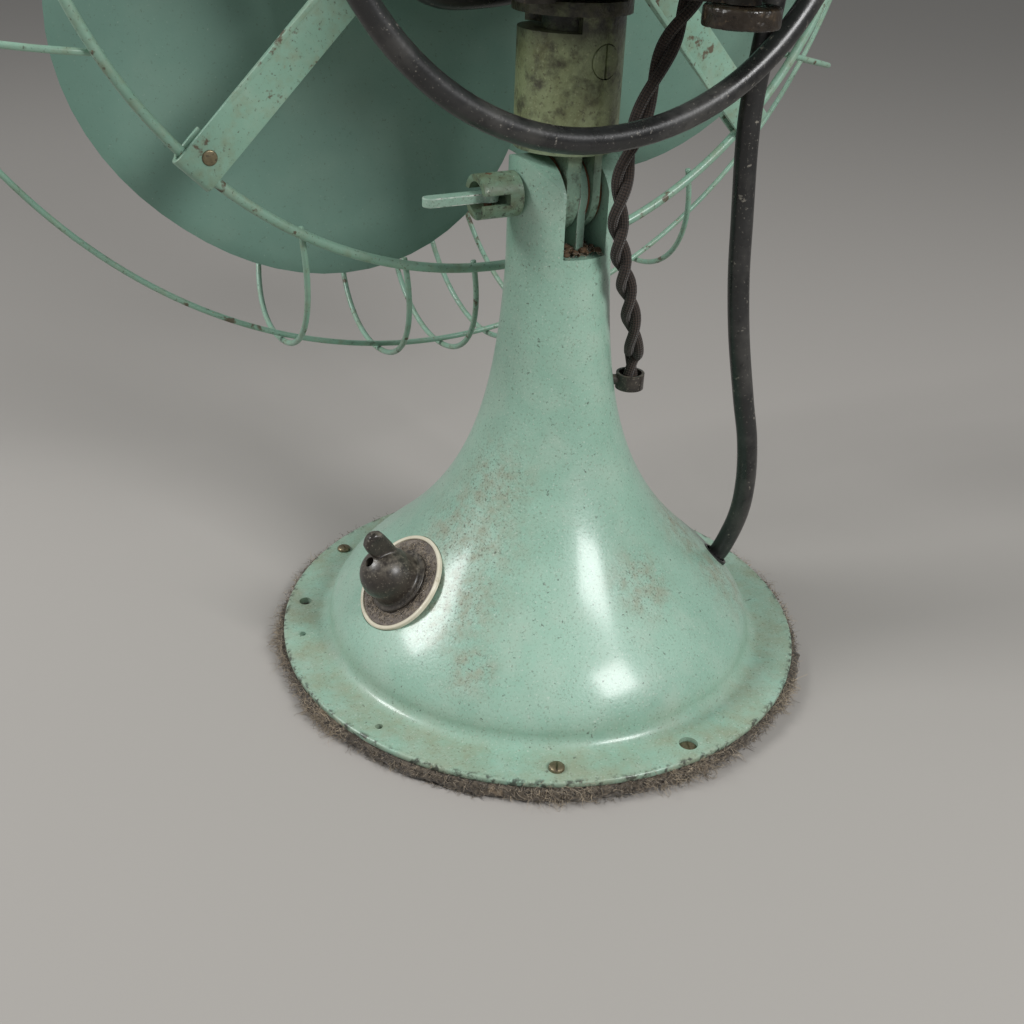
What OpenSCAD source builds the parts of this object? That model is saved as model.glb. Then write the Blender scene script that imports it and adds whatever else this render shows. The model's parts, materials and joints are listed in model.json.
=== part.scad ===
// Oscillating desk fan with a bell-shaped cast base, a tilting neck and a wire guard.
// +Z is up, the origin is the centre of the felt pad's underside, and the fan blows towards -Y.

/* [Base] */
// Radius of the base flange
flange_r = 100; // [94:1:108]
// Thickness of the base flange
flange_t = 2.5; // [2:0.5:3.5]
// Thickness of the felt pad
felt_t = 5; // [4:0.5:6]
// How far the felt pad stands out past the flange
felt_over = 2; // [0:0.5:4]
// Radius of the bell where it stands on the flange
foot_r = 82; // [78:0.5:85]
// Radius of the fillet between bell and flange
foot_fillet = 5; // [3:0.5:7]
// Height at which the bell starts to draw in
shoulder_z = 20; // [16:1:24]
// How much narrower the bell is at its shoulder than at its foot
shoulder_draw = 1.5; // [0.5:0.5:3]
// Length over which the bell draws in
bell_len = 42.3; // [38:0.1:46]
// Height at which the bell becomes the column
bell_end = 150; // [140:1:154]
// Radius of the column
column_r = 18; // [17:0.5:19]
// Wall of the bell
bell_wall = 3; // [2.5:0.5:3.5]
// Height of the hollow inside the bell
hollow_z = 118; // [112:1:124]
// Thickness of the closing plate
plate_t = 1.5; // [1:0.5:2]

/* [Flange holes] */
// Radius of the circle on which the flange holes lie
hole_circle_r = 93; // [90:0.5:95]
// Radius of a mounting hole
mount_hole_r = 2.5; // [2:0.1:3]
// Radius of a felt screw's shank
felt_screw_r = 1.2; // [1:0.1:1.4]
// Number of felt screw holes
felt_hole_count = 9; // [6:1:9]
// Direction of the first felt screw hole
felt_hole_start = -16; // [-18:1:-12]
// Radius of the sunk screw's hole
sunk_hole_r = 3.3; // [2.8:0.1:3.6]

/* [Tilt joint] */
// Height of the tilt pivot
pivot_z = 176; // [174:1:178]
// Radius of the tilt pivot
pivot_r = 4; // [3.5:0.1:4.5]
// Width of the fork's slot
slot_w = 16; // [16:0.1:17]
// Depth of the slot's floor below the pivot
slot_depth = 19; // [17:1:22]
// Drop of the fork's rounding centre below the pivot
fork_drop = 6; // [5:0.5:7]
// Radius of the neck's tongues about the pivot
tongue_r = 13; // [11:0.5:14]
// Thickness of the thick tongue
tongue_t = 5; // [4.6:0.1:5.1]
// Thickness of the thin tongue
thin_tongue_t = 2.8; // [2.4:0.1:2.9]
// Thickness of an outer fibre washer
fibre_t = 1.6; // [1.2:0.1:1.7]
// Thickness of the fixed friction plate
friction_t = 3; // [2.6:0.1:3.1]

/* [Clamp screw] */
// Radius of the clamp screw's barrel head
barrel_r = 7.25; // [6.5:0.25:8]
// Length of the barrel head
barrel_len = 14; // [12:0.5:16]
// Radius of the hollow in the barrel
barrel_hollow_r = 5; // [4.5:0.1:5.4]
// Depth of the hollow
barrel_hollow = 9; // [8:0.5:10]
// Thickness of the lever
lever_t = 3; // [2:0.2:3.4]
// Width of the lever's arm
lever_w = 5; // [4:0.5:6]
// Length of the lever from its pin to its tip
lever_len = 23; // [18:1:28]
// Radius of the lever's pin
lever_pin_r = 1.3; // [1:0.1:1.6]

/* [Neck] */
// Radius of the neck
neck_r = 17; // [16:0.5:17.5]
// Height of the neck's lower edge above the pivot
neck_rise = 14; // [13.5:0.5:16]
// Height of the neck's upper edge
neck_top = 230.8; // [229:0.2:232]
// Depth of the notch that limits the swivel
notch_h = 4.8; // [4:0.2:6]
// Radius of the swivel spindle
spindle_r = 7; // [6:0.2:7.6]
// Height of the screw that holds the spindle
neck_screw_z = 218; // [212:1:220]
// Direction of the screw that holds the spindle
neck_screw_az = 100; // [80:1:120]

/* [Head] */
// Height of the fan's axis
axis_z = 292; // [290:0.5:295]
// Radius of the swivel collar
collar_r = 18.9; // [18:0.1:19.5]
// Radius of the motor housing
motor_r = 47; // [46:0.2:48]
// Length of the motor in front of its seam
motor_front = 38.9; // [38:0.1:40]
// Length of the motor behind its seam
motor_rear = 30; // [29:0.2:31]
// Wall of the motor housing
motor_wall = 2.5; // [2:0.1:3]
// Radius of the motor shaft
shaft_r = 5; // [4.5:0.1:5.4]
// Radius of the rotor's core
rotor_r = 23.6; // [22:0.2:25]
// Air gap between rotor and stator
air_gap = 0.4; // [0.3:0.05:0.6]

/* [Oscillator] */
// Number of teeth of the worm wheel
wheel_teeth = 30; // [28:1:32]
// Distance between the worm's and the wheel's axes
gear_centre = 25; // [25:0.1:26]
// Distance of the wheel's axis behind the swivel axis
gear_y = 61; // [60:0.5:64]
// Radius of the worm's thread
worm_r = 7.2; // [7:0.1:7.4]
// Radius of the worm's body
worm_body_r = 5.2; // [5:0.1:5.4]
// Throw of the crank
crank_throw = 8; // [6:0.5:9]
// Radius of the crank pin
crank_pin_r = 2.5; // [2:0.1:3]
// How far the fixed lug stands out to the side
lug_x = 22; // [21:0.5:23]
// How far the fixed lug stands back
lug_y = 15; // [14:0.5:16]

/* [Guard] */
// Radius of the rear ring
rear_ring_r = 154.9; // [150:0.5:158]
// Distance of the rear ring in front of the swivel axis
rear_ring_s = 42.4; // [42.4:0.1:44]
// Radius of the rear ring's wire
rear_wire_r = 1.75; // [1.5:0.05:2]
// Radius of a guard wire
guard_wire_r = 1.1; // [0.9:0.05:1.3]
// Radius of the outer ring's wire
outer_wire_r = 1.1; // [0.9:0.05:1.3]
// Radius of the bend of the guard wires
guard_bend_r = 50.3; // [48:0.1:54]
// Distance of the outer ring behind the bend's middle
outer_ring_back = 5.5; // [3:0.5:8]
// Radius of the plain plate at the guard's centre
badge_r = 40; // [36:1:46]
// Width of a guard strap
strap_w = 14; // [12:0.5:16]
// Thickness of a guard strap
strap_t = 1.6; // [1.2:0.1:2]
// Distance of the strap's rivet inside the rear ring
rivet_in = 4.6; // [4.4:0.2:8]
// Height of the strap's stiffening edge
strap_edge = 4; // [3:0.5:5]

/* [Blades] */
// Radius of the blade tips
tip_r = 176; // [168:1:178]
// Number of blades
blade_count = 4; // [3:1:5]
// Direction of the first blade's middle
blade_start = -53; // [-60:1:-45]
// Pitch of the blades
blade_pitch = 16; // [12:1:18]
// Distance of the blades' middle in front of the swivel axis
blade_s = 82; // [80:1:86]
// Thickness of a blade
blade_t = 1.2; // [1:0.1:1.6]
// Half angle that a blade would span at the axis
blade_span = 68; // [60:1:70]
// Radius of the blade hub
hub_r = 14; // [12:0.5:16]

/* [Switch] */
// Height of the switch on the bell
switch_z = 39; // [37:0.5:42]
// Direction of the switch round the base
switch_az = 2; // [-5:1:10]
// Slope of the switch's axis above the level
switch_el = 45; // [42:1:48]
// Radius of the dial's rim
dial_r = 18.8; // [17:0.2:19.4]
// Radius of the knob's dome
knob_r = 10; // [9.4:0.1:10.6]
// Height of the dome's middle above the knob's foot
knob_rise = 6.8; // [6:0.2:8]
// Radius of the knob's skirt
skirt_r = 12.3; // [11.5:0.1:13]

/* [Cords] */
// Diameter of the power cord
cord_d = 7.5; // [6.5:0.1:7.6]
// Diameter of the motor lead
lead_d = 7; // [6:0.1:7.5]
// Height of the cord's exit from the bell
exit_z = 29.5; // [28:0.5:31]
// Direction of the cord's exit
exit_az = 161; // [159:0.5:163]
// Slope of the cord's exit above the level
exit_el = 52; // [46:1:56]
// Height of the motor lead's bush
bush_z = 107; // [105:0.5:109]
// Direction of the motor lead's bush
bush_az = 160; // [157:0.5:163]

/* [Hidden] */
$fn = 64;
run_gap = 0.05;
slip = 0.02;
seat_gap = 0.1;
weld_gap = 0.08;
clear = 0.3;
cut = 1;

bell_pow = 1.22;
bell_steps = 26;
flange_top = felt_t + flange_t;
shoulder_r = foot_r - shoulder_draw;
column_top = pivot_z - fork_drop + column_r;
function bell_fade(z) = exp(-pow((z - shoulder_z)/bell_len, bell_pow));
function bell_r(z) = let (e = bell_fade(bell_end))
    column_r + (shoulder_r - column_r)*(bell_fade(z) - e)/(1 - e);

mount_az = [-30, 210];
sunk_az = 94;
felt_empty = [0, 1];
felt_none = [3, 4];
felt_places = [for (k = [0:felt_hole_count - 1]) if (len(search(k, felt_none)) == 0) k];
felt_head_r = 2.75;
felt_head_h = 1.7;
slot_cut = 0.8;
sunk_depth = 1;
hole_play = 0.15;

fork_half = slot_w/2;
thin_fibre_t = 0.6;
slot_floor = pivot_z - slot_depth;
tongue_x = fork_half - fibre_t - 2*seat_gap - tongue_t;
friction_x = tongue_x - 2*seat_gap - thin_fibre_t - friction_t - seat_gap;
thin_tongue_x = friction_x - 2*seat_gap - thin_fibre_t - seat_gap - thin_tongue_t;
last_fibre_t = thin_tongue_x - seat_gap + fork_half - seat_gap;
washer_r = tongue_r - 1;
nut_r = 6.5;
nut_t = 4.5;
nut_sink = 0.5;
barrel_x = column_r + clear;
lever_pin_in = 4.5;
lever_pin_x = barrel_x + barrel_len - lever_pin_in;
lever_eye_r = 3.5;

neck_z = pivot_z + neck_rise;
spindle_z = 200;
spindle_top = axis_z - motor_r - 2*clear;
notch_from = -140;
notch_sweep = 210;
notch_r = 9.5;
thrust_t = 1;
neck_hole_r = 2.6;
neck_head_r = 5;
neck_head_t = 2.6;
neck_seat = neck_r - 2.8;

collar_z = neck_top + 0.2;
lug_z = collar_z + 4.4;
lug_t = 3.6;
lug_hub_r = 11;
lug_eye_r = 6;
lug_arm = 5;
lug_room = 0.4;
link_t = 3;
link_z = lug_z + lug_t + clear;
crank_z = link_z + link_t + 2*clear;
crank_t = 5;
cap_t = 5.7;
cap_r = 11;
saddle_z = link_z + link_t + 2*clear;
saddle_x = 22;
saddle_y = 19.5;
stop_az = -70;
stop_half = 12;
stop_rise = 0.5;
stop_w = neck_r - notch_r - 1;
saddle_h = 16;
window_from = -30;
window_sweep = 150;

motor_in = motor_r - motor_wall;
stator_r = motor_in - 0.2;
front_round = 4;
rear_round = 6;
stator_front = 18;
stator_back = 16;
winding_len = 10;
bearing_r = 8;
boss_r = 13;
boss_front = 56;
ear_screw_r = 1.5;
ear_head_r = 2.8;
ear_circle_r = motor_r + ear_head_r + 0.2;
ear_r = 3.4;
ear_len = 6;
ear_head_h = 2;
thread_end = 0.5;
strap_head_r = 4.4;
strap_head_h = 2.4;
front_boss = 4;
rear_boss = 6;
shaft_front = 104;
shaft_back = 86;
shaft_step = 31.5;
shaft_tail_r = 3;

gear_x = -gear_centre;
wheel_tip_r = gear_centre - worm_body_r - clear;
wheel_root_r = gear_centre - worm_r - clear;
wheel_pitch_r = (wheel_tip_r + gear_centre - worm_r)/2;
worm_pitch = 2*PI*wheel_pitch_r/wheel_teeth;
worm_turns = 5;
worm_steps = 16;
thread_in = worm_body_r - 0.4;
thread_foot = 0.75;
thread_crest = 0.45;
wheel_half = 3;
case_r = 26;
case_wall = 3.5;
case_foot = 4;
case_z = crank_z + crank_t + case_foot;
case_top = axis_z + 20;
cover_t = 3;
tunnel_r = 15;
tunnel_end = 92;
gear_spindle_r = 4;
cover_screw_r = 1.2;
cover_screw_az = [30, 150, 270];
cover_screw_len = 8;
cover_head_r = 2.6;
cover_head_h = 1.8;

foot_in = 1.9;
guard_foot_r = rear_ring_r - foot_in;
strap_s = rear_ring_s - rear_wire_r - seat_gap - strap_t;
strap_in_r = 29;
strap_end_r = rear_ring_r + rear_wire_r + seat_gap;
strap_az = [45, 135, 225, 315];
ear_az = [20, 160, 200, 340];
strap_screw_r = 38;
strap_edge_from = 62;
strap_tail = 5;
fold_s = rear_ring_s + rear_wire_r + seat_gap;
rivet_r = 2.5;
rivet_shank_r = 1.5;
rivet_h = 1.2;
rivet_grip = 0.8;
bend_s = rear_ring_s + rear_wire_r + weld_gap + guard_wire_r + guard_bend_r;
guard_front_s = bend_s + guard_bend_r;
outer_ring_s = bend_s - outer_ring_back;
outer_ring_r = guard_foot_r - outer_wire_r - guard_wire_r - weld_gap
    + sqrt(guard_bend_r*guard_bend_r - outer_ring_back*outer_ring_back);
guard_tip_r = badge_r - 6;
inner_ring_r = badge_r - 4;
inner_wire_r = 1.5;
// Wires of one quarter of the guard: direction of the foot and of the outermost point
guard_quarter = [[29.5, 20], [14, 8], [3.4, 0], [-6.3, -6.3], [-19, -13], [-34, -28.5]];

blade_in_r = 24;
blade_shape = 2.3;
blade_edge = blade_span*pow(1 - (blade_in_r + 1)/tip_r, 1/blade_shape);
blade_cols = 18;
blade_rows = 6;
arm_len = 72;
arm_w = 20;
arm_t = 3;
arm_gap = 0.4;
arm_back = -blade_t/2 - seat_gap - arm_t - arm_gap;
hub_screw_up = 4;
hub_screw_sink = 0.5;
blade_rivet_h = 1.4;
blade_rivet_at = [36, 50, 64];
hub_half = 17;

switch_r = bell_r(switch_z);
dial_sink = 0.5;
dial_z = seat_gap - dial_sink;
dial_t = 0.8;
dial_rim_w = 1.6;
dial_rim_h = 1.4;
bush_r = 5;
switch_top = 4.2;
switch_len = 22;
switch_case_r = 14;
switch_shaft_r = 3;
switch_nut_t = 2.2;
nut_corner_r = bush_r + 2.6;
nut_top = dial_t - dial_sink + switch_nut_t + 2*seat_gap;
switch_floor = 4 - switch_top - switch_len;
knob_z = dial_z + dial_t + clear;
skirt_t = 1.3;
fin_t = 4.4;
dome_z = knob_z + knob_rise;
knob_top = dome_z + knob_r;
knob_web = 1.6;
knob_bore = knob_top - 6;
knob_shank_r = 1.2;
knob_shank = 5;
knob_head_r = 1.8;
knob_head_h = 1.5;

choke_w = 46;
choke_d = 14;
choke_h = 36;
choke_leg = 12;
choke_yoke = 7;
choke_y = -14;
plate_top = felt_t + seat_gap + plate_t;
block_w = 36;
block_d = 12;
block_h = 10;
block_y = 26;
block_floor = 3;
block_hole_r = 2;
block_hole_gap = 10.6;

cord_r = cord_d/2;
cord_sides = 8;
cord_gap = 1.6;
exit_r = bell_r(exit_z);
grommet_r = 5.6;
grommet_lip = 0.6;
grommet_tail = 1;
bush_out = 29;
bush_body_r = 1.9;
cup_wall = 1;
cup_h = 2.6;
cup_drop = 3.2;
cup_floor = 1.6;
bush_tail = 2;
bore_play = 0.65;
cup_r = lead_d/2 + bore_play + cup_wall;
bush_at = [bush_out*cos(bush_az), bush_out*sin(bush_az), bush_z];
lead_az = 235;
lead_s = -20;
lead_grommet_r = 5;
lead_lip = 1.5;

// Route of the power cord from the bell up to the motor's side
exit_dir = [cos(exit_el)*cos(exit_az), cos(exit_el)*sin(exit_az), sin(exit_el)];
exit_at = [exit_r*cos(exit_az), exit_r*sin(exit_az), exit_z];
riser_points = [exit_at - 3*exit_dir, exit_at + 4*exit_dir, [-71, 29, 50], [-69.5, 32, 67],
    [-66, 33.5, 85], [-61.5, 33.5, 102], [-56, 33, 126], [-53, 32, 148], [-51, 32, 169],
    [-49, 32, 192], [-48.5, 32.4, 207], [-49, 33.6, 222], [-51, 34.5, 245], [-54, 35, 265]];
// Quarter points of the cord wound round the motor: right, top, left, bottom of each turn
coil_points = [[-56, 35, 285], [0, 25, 343.8], [98, 40, 280], [18, 48, 202.6],
    [-75, 38, 283], [0, 8, 343.8], [66, -12, 285], [27, -25.5, 232],
    [-60, -22, 290], [0, -8, 343.8], [51.8, -20, 292], [0, -33, 240.2],
    [-51.8, -31.5, 292], [0, -26, 343.8], [62, -35, 304]];
// Route of the motor lead from the motor's underside down to its bush
lead_out = [cos(lead_az), 0, sin(lead_az)];
lead_from = [0, -lead_s, axis_z] + (motor_r + 2)*lead_out;
lead_points = [lead_from, lead_from + 5*lead_out, [-30, 24, 243], [-22.5, 29.5, 236],
    [-15.5, 28, 220], [-10.5, 26.3, 202], [-6.5, 25.6, 186], [-7.5, 24, 166], [-16.5, 20.5, 141],
    [-24.5, 14.5, 121],
    bush_at + [0, 0, 9], bush_at + [0, 0, 0.3]];
plug_top = coil_points[len(coil_points) - 1];
plug_r = 9.5;
plug_neck_r = 5.7;
pin_seat = 7;
plug_len = 36;
plug_pin_r = 2;
plug_pin_len = 18;
plug_pin_gap = 9.5;

// Local frame of the fan: x across, y up, z forward along the axis
module on_fan() translate([0, 0, axis_z]) rotate([90, 0, 0]) children();
module at_az(a) rotate([0, 0, a]) children();
module on_pivot() translate([0, 0, pivot_z]) rotate([0, 90, 0]) children();
module on_switch() {
    at_az(switch_az) translate([switch_r, 0, switch_z]) rotate([0, 90 - switch_el, 0]) children();
}
module on_exit() at_az(exit_az) translate([exit_r, 0, exit_z]) rotate([0, 90 - exit_el, 0]) children();
module on_bush() at_az(bush_az) translate([0, 0, bush_z]) rotate([0, 90, 0]) children();
module on_neck_screw() at_az(neck_screw_az) translate([0, 0, neck_screw_z]) rotate([0, 90, 0]) children();
module on_lead() at_az(lead_az) translate([0, 0, lead_s]) rotate([0, 90, 0]) children();
module on_gear() translate([gear_x, gear_y, 0]) children();
module ring(out_r, in_r, z0, z1) {
    difference() {
        translate([0, 0, z0]) cylinder(r = out_r, h = z1 - z0);
        translate([0, 0, z0 - cut]) cylinder(r = in_r, h = z1 - z0 + 2*cut);
    }
}
module rod(r, z0, z1) translate([0, 0, z0]) cylinder(r = r, h = z1 - z0);
module wire_ring(ring_r, wire_r, s) {
    translate([0, 0, s]) rotate_extrude() translate([ring_r, 0]) circle(r = wire_r);
}
module slotted_head(r, z0, h) {
    difference() {
        rod(r, z0, z0 + h);
        translate([-r - cut, -slot_cut/2, z0 + h/2]) cube([2*r + 2*cut, slot_cut, h]);
    }
}

// Sweeps a round cord along a path whose direction is never along Y
function unit(v) = v/norm(v);
function along(p, i) = unit(p[min(i + 1, len(p) - 1)] - p[max(i - 1, 0)]);
function side_of(t) = unit(cross([0, 1, 0], t));
function cord_ring(p, i, r, n) = let (t = along(p, i), u = side_of(t), v = cross(t, u))
    [for (k = [0:n - 1]) p[i] + r*(cos(360*k/n)*u + sin(360*k/n)*v)];
module cord(p, r, n) {
    last = len(p) - 1;
    pts = [for (i = [0:last]) each cord_ring(p, i, r, n)];
    wall = [for (i = [0:last - 1]) for (k = [0:n - 1]) let (m = (k + 1)%n)
        each [[i*n + k, (i + 1)*n + k, i*n + m], [i*n + m, (i + 1)*n + k, (i + 1)*n + m]]];
    caps = [for (k = [1:n - 2]) each [[0, k, k + 1], [last*n, last*n + k + 1, last*n + k]]];
    polyhedron(points = pts, faces = concat(wall, caps));
}
function spline_at(p, i, t) =
    let (n = len(p) - 1, a = p[max(i - 1, 0)], b = p[i], c = p[i + 1], d = p[min(i + 2, n)])
    0.5*(2*b + (c - a)*t + (2*a - 5*b + 4*c - d)*t*t + (3*b - a - 3*c + d)*t*t*t);
function spline(p, m) =
    concat([for (i = [0:len(p) - 2]) for (k = [0:m - 1]) spline_at(p, i, k/m)], [p[len(p) - 1]]);

// Quarter turns of the coil: even points have an upright tangent, odd ones a level tangent
coil_rings = 6;
function ease(t) = t*t*(3 - 2*t);
function quarter(a, b, even, t) = even
    ? [b[0] + (a[0] - b[0])*cos(90*t), a[1] + (b[1] - a[1])*ease(t), a[2] + (b[2] - a[2])*sin(90*t)]
    : [a[0] + (b[0] - a[0])*sin(90*t), a[1] + (b[1] - a[1])*ease(t), b[2] + (a[2] - b[2])*cos(90*t)];
coil_path = concat([for (i = [0:len(coil_points) - 2]) for (k = [0:coil_rings - 1])
    quarter(coil_points[i], coil_points[i + 1], i%2 == 0, k/coil_rings)], [plug_top]);
riser_path = spline(concat(riser_points, [coil_points[0] - [0, 0, cord_gap]]), 2);
lead_path = spline(lead_points, 2);
function path_len(p, i = 0) = i < len(p) - 1 ? norm(p[i + 1] - p[i]) + path_len(p, i + 1) : 0;
turn_rings = 2*coil_rings;
coil_gap = min([for (i = [0:len(coil_path) - 1]) for (j = [i + turn_rings:1:len(coil_path) - 1])
    norm(coil_path[i] - coil_path[j])]) - cord_d;
echo(coil_gap = coil_gap, riser_len = path_len(riser_path), coil_len = path_len(coil_path));
echo(lead_len = path_len(lead_path));

// Base

module felt_holes(z0, z1, play) {
    for (k = felt_places) {
        at_az(felt_hole_start + 360*k/felt_hole_count)
            translate([hole_circle_r, 0, 0]) rod(felt_screw_r + play, z0, z1);
    }
}
module mount_holes(z0, z1) {
    for (a = mount_az) at_az(a) translate([hole_circle_r, 0, 0]) rod(mount_hole_r, z0, z1);
    at_az(sunk_az) translate([hole_circle_r, 0, 0]) rod(sunk_hole_r, z0, z1);
}

module felt_pad() {
    color("dimgray") difference() {
        rod(flange_r + felt_over, 0, felt_t);
        felt_holes(-cut, felt_t + cut, hole_play);
        mount_holes(-cut, felt_t + cut);
    }
}

module bell_outline() {
    fillet = [for (a = [0:15:90])
        [foot_r + foot_fillet*(1 - sin(a)), flange_top + foot_fillet*(1 - cos(a))]];
    bell = [for (i = [0:bell_steps])
        let (z = shoulder_z + (bell_end - shoulder_z)*i/bell_steps) [bell_r(z), z]];
    polygon(concat([[0, felt_t], [flange_r, felt_t], [flange_r, flange_top]], fillet, bell,
        [[column_r, column_top], [0, column_top]]));
}
module hollow_outline() {
    steps = 16;
    bell = [for (i = [0:steps])
        let (z = shoulder_z + (hollow_z - shoulder_z)*i/steps) [bell_r(z) - bell_wall, z]];
    polygon(concat([[0, felt_t - cut], [shoulder_r - bell_wall, felt_t - cut]], bell, [[0, hollow_z]]));
}
module fork_trim() {
    difference() {
        translate([-column_r - cut, -column_r - cut, pivot_z - fork_drop])
            cube([2*column_r + 2*cut, 2*column_r + 2*cut, column_r + cut]);
        translate([0, 0, -fork_drop]) on_pivot() rod(column_r, -column_r - 2*cut, column_r + 2*cut);
    }
}
module base_shell() {
    color("darkseagreen") difference() {
        rotate_extrude() bell_outline();
        rotate_extrude() hollow_outline();
        fork_trim();
        translate([-fork_half, -column_r - cut, slot_floor]) cube([slot_w, 2*column_r + 2*cut, column_top]);
        on_pivot() rod(pivot_r + run_gap, -column_r - cut, column_r + cut);
        on_pivot() rod(nut_r, -column_r - cut, -column_r + nut_t);
        on_switch() rod(bush_r + slip, -switch_len, switch_len);
        on_switch() rod(dial_r + clear, -dial_sink, switch_len);
        on_exit() rod(grommet_r + seat_gap, -2*bell_wall - grommet_r, cord_d);
        on_bush() rod(bush_body_r + seat_gap, 0, bush_out);
        felt_holes(0, flange_top + cut, hole_play);
        mount_holes(0, flange_top + cut);
    }
}

module base_plate() {
    color("silver") difference() {
        rod(shoulder_r - bell_wall - clear, felt_t + seat_gap, plate_top);
        rod(shaft_r, 0, plate_top + cut);
    }
}

module flange_screws() {
    color("tan") {
        for (k = felt_places) {
            if (len(search(k, felt_empty)) == 0) {
                at_az(felt_hole_start + 360*k/felt_hole_count) translate([hole_circle_r, 0, 0]) {
                    rod(felt_screw_r, felt_t/2, flange_top + 2*seat_gap);
                    slotted_head(felt_head_r, flange_top + seat_gap, felt_head_h);
                }
            }
        }
        at_az(sunk_az) translate([hole_circle_r, 0, 0])
            slotted_head(sunk_hole_r - hole_play, felt_t/2, flange_t + felt_t/2 - sunk_depth);
    }
}

// Speed switch

module switch_body() {
    color("saddlebrown") on_switch() difference() {
        union() {
            rod(switch_case_r, -switch_top - switch_len, -switch_top);
            rod(bush_r, -switch_top - cut, nut_top);
        }
        rod(switch_shaft_r + run_gap, switch_floor, switch_len);
    }
}
module switch_nut() {
    color("silver") on_switch() difference() {
        translate([0, 0, nut_top - switch_nut_t]) cylinder(r = nut_corner_r, h = switch_nut_t, $fn = 6);
        rod(bush_r + slip, -cut, switch_len);
    }
}
module dial_plate() {
    color("black") on_switch() ring(dial_r - dial_rim_w, bush_r + slip, dial_z, dial_z + dial_t);
}
module dial_rim() {
    color("ivory") on_switch() ring(dial_r, dial_r - dial_rim_w + seat_gap, dial_z, dial_z + dial_rim_h);
}
module switch_shaft() {
    color("silver") on_switch() difference() {
        rod(switch_shaft_r, switch_floor + 2*seat_gap, knob_bore - 2*seat_gap);
        rod(knob_shank_r + slip, knob_bore - knob_shank - seat_gap, knob_bore + cut);
    }
}
module knob_outline() {
    dome = [for (a = [0:10:90]) [knob_r*cos(a), dome_z + knob_r*sin(a)]];
    skirt = [[0, knob_z], [skirt_r, knob_z], [skirt_r, knob_z + skirt_t], [knob_r, knob_z + 2*skirt_t]];
    polygon(concat(skirt, dome));
}
module knob_fin() {
    leaf = [[-6, 2], [-9.6, 5], [-10.4, 8.5], [-10.9, 12], [-11, 14.5], [-9.5, 16.7], [-7.5, 17.5],
        [-5.5, 17.1], [-3.4, 15.8], [-2.5, 13.5], [-2.3, 10.5], [-2.6, 5]];
    rotate([90, 0, 0]) translate([0, 0, -fin_t/2]) linear_extrude(fin_t) translate([0, dome_z]) polygon(leaf);
}
module switch_knob() {
    color("#241d18") on_switch() difference() {
        union() {
            rotate_extrude() knob_outline();
            knob_fin();
        }
        rod(nut_corner_r + 2*clear, -cut, nut_top + 2*clear);
        rod(switch_shaft_r + slip, -cut, knob_bore);
        rod(knob_shank_r + seat_gap, 0, knob_top);
        rod(knob_head_r + seat_gap, knob_bore + knob_web, knob_top + cut);
    }
}
module knob_screw() {
    color("gray") on_switch() {
        rod(knob_shank_r, knob_bore - knob_shank, knob_bore + knob_web + 2*seat_gap);
        slotted_head(knob_head_r, knob_bore + knob_web + seat_gap, knob_head_h);
    }
}

// Inside the base

module choke_core() {
    leg_x = choke_leg/2;
    window_w = (choke_w - choke_leg)/2 - choke_yoke;
    color("gray") translate([0, choke_y, plate_top + seat_gap]) difference() {
        translate([-choke_w/2, -choke_d/2, 0]) cube([choke_w, choke_d, choke_h]);
        for (x = [leg_x, -leg_x - window_w]) {
            translate([x, -choke_d, choke_yoke]) cube([window_w, 2*choke_d, choke_h - 2*choke_yoke]);
        }
    }
}
module choke_winding() {
    gap = 0.2;
    window_w = (choke_w - choke_leg)/2 - choke_yoke;
    half = choke_leg/2 + window_w - gap;
    h = choke_h - 2*choke_yoke - 2*gap;
    color("peru") translate([0, choke_y, plate_top + seat_gap + choke_yoke + gap]) difference() {
        translate([-half, -choke_d/2 - window_w + gap, 0]) cube([2*half, choke_d + 2*window_w - 2*gap, h]);
        translate([-choke_leg/2 - gap, -choke_d/2 - gap, -cut])
            cube([choke_leg + 2*gap, choke_d + 2*gap, h + 2*cut]);
    }
}
module terminal_block() {
    color("#33261d") translate([0, block_y, plate_top + seat_gap]) difference() {
        translate([-block_w/2, -block_d/2, 0]) cube([block_w, block_d, block_h]);
        for (x = [-1, 0, 1]) translate([x*block_hole_gap, 0, 0])
            rod(block_hole_r, block_floor, block_h + cut);
    }
}
module cord_grommet() {
    color("black") on_exit() difference() {
        rod(grommet_r, -bell_wall - grommet_tail, grommet_lip);
        rod(cord_r + bore_play, -2*bell_wall, cord_d);
    }
}
module lead_bush() {
    color("#2a201a") difference() {
        union() {
            on_bush() rod(bush_body_r, bell_r(bush_z) - bell_wall - bush_tail, bush_out);
            translate(bush_at) rod(cup_r, -cup_drop, cup_h);
        }
        translate(bush_at) rod(lead_d/2 + bore_play, -cup_floor, cup_h + cut);
    }
}

// Tilt joint

module fibre_washers() {
    color("sienna") on_pivot() {
        ring(washer_r, pivot_r + run_gap, fork_half - fibre_t - seat_gap, fork_half - seat_gap);
        ring(washer_r, pivot_r + run_gap, tongue_x - thin_fibre_t - seat_gap, tongue_x - seat_gap);
        ring(washer_r, pivot_r + run_gap, friction_x - thin_fibre_t - seat_gap, friction_x - seat_gap);
        ring(washer_r, pivot_r + run_gap, seat_gap - fork_half, last_fibre_t - fork_half);
    }
}
module friction_plate() {
    foot = tongue_r - 2;
    color("dimgray") difference() {
        union() {
            on_pivot() rod(washer_r, friction_x, friction_x + friction_t);
            translate([friction_x, -foot, slot_floor + seat_gap])
                cube([friction_t, 2*foot, slot_depth - seat_gap]);
        }
        on_pivot() rod(pivot_r + run_gap, -fork_half, fork_half);
    }
}
module clamp_nut() {
    color("gray") on_pivot()
        ring(nut_r - seat_gap, pivot_r + run_gap, nut_sink - column_r, nut_t - seat_gap - column_r);
}
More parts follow.
